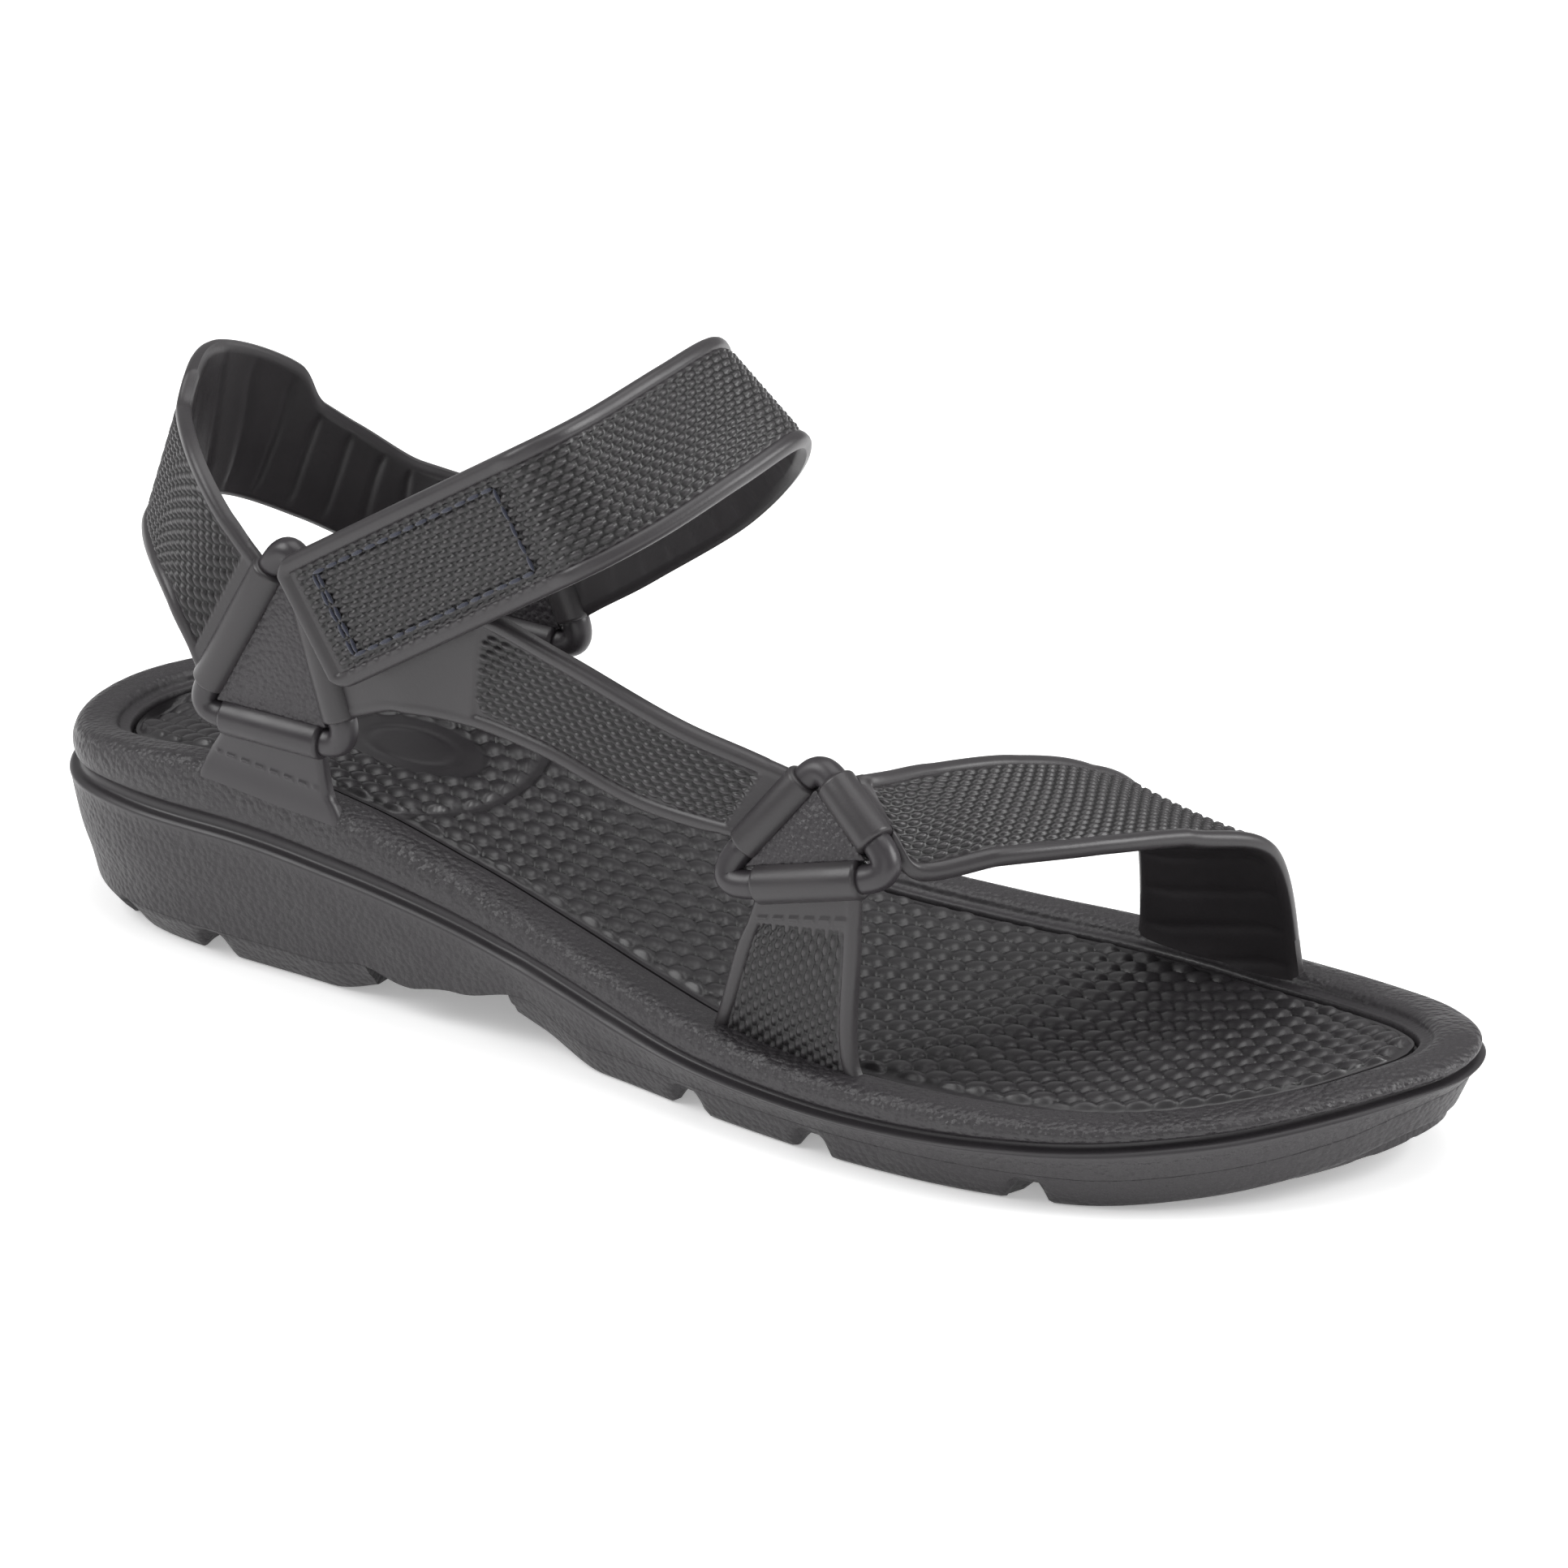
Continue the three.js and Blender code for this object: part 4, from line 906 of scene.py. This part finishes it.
# ankle strap: from the inner rear link over the instep, with its tail down the outer side
closure = {"out": -43.2, "front": vec(130.5, 0, 110), "end": vec(77.5, 0, 77), "padStart": 6}
closureAlong = unit(closure["end"] - closure["front"])
closureAcross = vec(-closureAlong[2], 0, closureAlong[0])
if closureAcross[0] < 0:
    closureAcross = -closureAcross
closureLength = np.linalg.norm(closure["end"] - closure["front"])


def onClosure(reach, out):
    p = closure["front"] + closureAlong * reach
    return vec(p[0], out, p[2])


ankleWidth = 26.5
onTail = [{"at": onClosure(r, closure["out"]), "across": closureAcross, "width": ankleWidth}
          for r in (0, 6, 20, 40, closureLength)]
foreAcross = innerRear["fore"]["along"].copy()
ankleStops = [
    leave(innerRear["fore"], (0.946, 0, 0.325)),
    stop(95, 36.2, 75.5, foreAcross, ankleWidth - 1.5),
    stop(118, 30.5, 93.5, (0.55, 0.05, -0.83), ankleWidth),
    stop(136, 18.5, 111, (0.7, 0, -0.71), ankleWidth),
    stop(143.5, 5, 120.5, (0.78, 0, -0.62), ankleWidth),
    stop(143, -12, 119.5, (0.72, 0, -0.69), ankleWidth),
    stop(139, -29, 115.5, (0.63, 0, -0.77), ankleWidth),
    stop(135, -39, 112.7, closureAcross, ankleWidth),
] + onTail
anklePiece = buildStrap("ankle_strap_band", "strap", None, ankleStops, [innerRear["fore"]],
                        ["ankle_strap", "strap_tail"],
                        {"to": 4.5, "from": 8, "ribs": 0.2, "dashes": ((10.1, -58, -6),)},
                        taper=4.5)
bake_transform(anklePiece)

# connecting strap: from the outer rear link to the front link, backing the closure
hookOut = closure["out"] + 1.3 + 0.3 + 0.5
loopOut = hookOut + 0.5 + 0.3 + 0.6
connectorOut = loopOut + 0.6 + 0.3 + 1.3
connectorStops = [
    {**leave(outerRear["fore"], (0.946, 0, 0.325)), "across": outerRear["fore"]["along"].copy()},
    stop(90, connectorOut, 73.5, closureAcross, 24),
    stop(108, connectorOut, 75, (0.3, 0, -0.95), 24),
    stop(128, connectorOut - 0.6, 71.5, (0.22, 0, -0.97), 21.5),
    stop(150, connectorOut - 0.8, 65.3, (0.05, 0, -1), 20.5),
    leave(frontLink["back"], (-0.8, -0.1, 0.45)),
]
buildStrap("connector_band", "strap", "sandal", connectorStops,
           [outerRear["fore"], frontLink["back"]], ["connector_strap"],
           {"from": 34, "to": 4, "openEnds": True, "fieldRound": 4})
backing = [connectorStops[0]] + [
    {"at": onClosure(r, connectorOut + 0.1), "across": closureAcross, "width": 22}
    for r in (40, 22, 5)]
buildStrap("closure_backing", "strap", "sandal", backing, [], [],
           {"pattern": 0, "rise": 0.1, "ribs": 0}, taper=4.0)

# toe strap: from the front link over the toes and into the inner side of the sole
toe = {"crown": 29, "foot": 35, "along": 223, "inset": 8.5}
toeRim = float(rimHeight(toe["along"] / length))
toeFoot = edgeAt(toe["along"], 1, toe["inset"]) + vec(0, 0, toeRim - 5)
toeLie = unit(edgeAt(toe["along"] + 5, 1, toe["inset"]) - edgeAt(toe["along"] - 5, 1, toe["inset"]))
buildStrap("toe_strap_band", "strap", "sandal", [
    leave(frontLink["fore"], (0.45, 0.55, 0.05)),
    stop(196, -32.6, 61.3, (0.63, -0.22, -0.74), 20.5),
    stop(202.5, -19, 60, (0.91, -0.1, -0.4), toe["crown"] - 3),
    stop(211, 0, 57, (0.95, 0, -0.31), toe["crown"] + 1),
    stop(217, 18, 51.8, (0.965, 0, -0.25), toe["crown"] + 2),
    stop(222, 33, 43, (0.985, -0.08, -0.12), toe["crown"] + 4),
    {"at": toeFoot + vec(0, 0, 8), "across": toeLie, "width": toe["foot"]},
    {"at": toeFoot, "across": toeLie, "width": toe["foot"] + 2},
], [frontLink["fore"]], ["toe_strap"], {"openEnds": True, "ribs": 0.4, "to": 12, "thickness": 3.0})
print("straps made")


# closure: hook and loop pads, and the thread that holds the hook side

def buildPad(name, nodeName, slotName, body, size, out, thickness):
    long, wide = size
    rows, cols = int(long / 0.8), int(wide / 0.8)
    rng = np.random.default_rng(7)
    reach = np.linspace(0, long, rows + 1)
    off = np.linspace(-wide / 2, wide / 2, cols + 1)
    fuzz = 0.22  # how far the pile stands up, mm
    grids = []
    for face in (-1, 1):
        grid = np.empty((rows + 1, cols + 1, 3))
        for i, r in enumerate(reach):
            base = onClosure(closure["padStart"] + r, out + face * (thickness / 2 - 0.12))
            grid[i] = base + closureAcross * off[:, None]
        inner = grid[1:-1, 1:-1]
        inner[..., 1] += face * rng.uniform(0, fuzz, inner.shape[:2])
        grids.append(grid)
    low, high = grids
    parts = [laidGrid("low", low), laidGrid("high", high)]
    for a, b in ((low[0], high[0]), (low[-1], high[-1]),
                 (low[:, 0], high[:, 0]), (low[:, -1], high[:, -1])):
        parts.append(laidGrid("edge", np.stack([a, b])))
    piece = weld(parts, name, smooth=80)
    dress(piece, fabrics["pile"], slotName, body, nodeName)


buildPad("hook_pad_pile", "hook_pad", "hook", "strap_tail", (49, 19), hookOut, 1.0)
buildPad("loop_pad_pile", "loop_pad", "loop", "sandal", (45, 18), loopOut, 1.2)

thread = {"radius": 0.42, "stitch": 3.4, "inset": 1.2, "long": 49, "wide": 19}


def stitchMesh():  # one stitch, lying along X and modelled once
    bpy.ops.object.select_all(action="DESELECT")
    bpy.ops.mesh.primitive_uv_sphere_add(segments=8, ring_count=6, radius=1)
    piece = bpy.context.object
    piece.data.transform(Matrix.Diagonal((
        thread["stitch"] * 0.47, thread["radius"], thread["radius"], 1)))
    return piece


def buildStitching():
    one = stitchMesh()
    faceOut = closure["out"] - 1.3 + 0.05
    corners = [(0, -1), (1, -1), (1, 1), (0, 1)]
    long, wide = thread["long"] - 2 * thread["inset"], thread["wide"] - 2 * thread["inset"]
    places = [(closure["padStart"] + thread["inset"] + a * long, b * wide / 2) for a, b in corners]
    runs = [(places[i], places[(i + 1) % 4]) for i in range(4)]
    runs.append(((places[2][0] - 1.1, places[2][1]), (places[1][0] - 1.1, places[1][1])))
    copies = []
    for start, stopAt in runs:
        start, stopAt = np.array(start), np.array(stopAt)
        span = np.linalg.norm(stopAt - start)
        count = max(int(round(span / thread["stitch"])), 1)
        for n in range(count):
            place = start + (stopAt - start) * (n + 0.5) / count
            along = unit(stopAt - start)
            centre = onClosure(place[0], faceOut) + closureAcross * place[1]
            ahead = closureAlong * along[0] + closureAcross * along[1]
            ahead = unit(ahead + vec(0, (-1) ** n * 0.05, 0))
            side = unit(np.cross(vec(0, 1, 0), ahead))
            up = np.cross(ahead, side)
            bpy.ops.object.select_all(action="DESELECT")
            copy = one.copy()
            copy.data = one.data.copy()
            bpy.context.collection.objects.link(copy)
            turn = Matrix((ahead, side, up)).transposed().to_4x4()
            placed = Matrix.Translation(Vector((centre + shift) * mm))
            copy.data.transform(placed @ turn @ Matrix.Scale(mm, 4))
            copies.append(copy)
    bpy.data.objects.remove(one)
    bpy.ops.object.select_all(action="DESELECT")
    for copy in copies:
        copy.select_set(True)
    bpy.context.view_layer.objects.active = copies[0]
    bpy.ops.object.join()
    piece = bpy.context.object
    piece.name = "closure_thread"
    bpy.ops.object.shade_smooth()
    dress(piece, fabrics["thread"], "thread", "strap_tail", "hook_pad_stitching")


buildStitching()
print("closure made")


# camera, floor and light

view = {"azimuth": 32.46, "elevation": 23.32, "distance": 1.6, "lens": 200.2,
        "target": (145, 0, 30), "shift": (0.0240, 0.0521)}
target = (vec(*view["target"]) + shift) * mm
a, e = math.radians(view["azimuth"]), math.radians(view["elevation"])
back = vec(math.sin(a) * math.cos(e), -math.cos(a) * math.cos(e), math.sin(e))
bpy.ops.object.select_all(action="DESELECT")
bpy.ops.object.camera_add(location=target + back * view["distance"],
                          rotation=(math.pi / 2 - e, 0, a))
camera = bpy.context.object
camera.data.lens = view["lens"]
camera.data.sensor_width = 36
camera.data.shift_x, camera.data.shift_y = view["shift"]
camera.data.clip_end = 20
bpy.context.scene.camera = camera

bpy.ops.mesh.primitive_plane_add(size=12, location=(0, 0, -0.1 * mm))
floor = bpy.context.object
floor.name = "floor"
paper = bpy.data.materials.new("StudioPaper_white")
paper.use_nodes = True
paperShader = paper.node_tree.nodes["Principled BSDF"]
paperShader.inputs["Base Color"].default_value = srgb("fafafa")
paperShader.inputs["Roughness"].default_value = 0.9
paperShader.inputs["Emission Color"].default_value = (1, 1, 1, 1)
paperShader.inputs["Emission Strength"].default_value = 0.3  # keeps the far paper white
floor.data.materials.append(paper)

lights = {  # position in metres, size, watts, aimed at the sandal
    "keyLeft": ((-0.9, -0.7, 1.1), 0.9, 14),
    "topSoft": ((0.1, 0.2, 1.5), 1.2, 11),
    "rimRight": ((1.0, 0.5, 0.7), 0.7, 12),
    "frontFill": ((0.5, -1.3, 0.5), 1.0, 3),
}
for lightName, (place, size, power) in lights.items():
    bpy.ops.object.light_add(type="AREA", location=place)
    lamp = bpy.context.object
    lamp.name = lightName
    lamp.data.size = size
    lamp.data.energy = power
    aim = Vector((0, 0, 0.05)) - lamp.location
    lamp.rotation_euler = aim.to_track_quat("-Z", "Y").to_euler()

world = bpy.data.worlds.new("StudioAir")
bpy.context.scene.world = world
world.use_nodes = True
world.node_tree.nodes["Background"].inputs["Color"].default_value = (1, 1, 1, 1)
world.node_tree.nodes["Background"].inputs["Strength"].default_value = 0.4
bpy.context.scene.view_settings.view_transform = "Standard"
print("studio made")
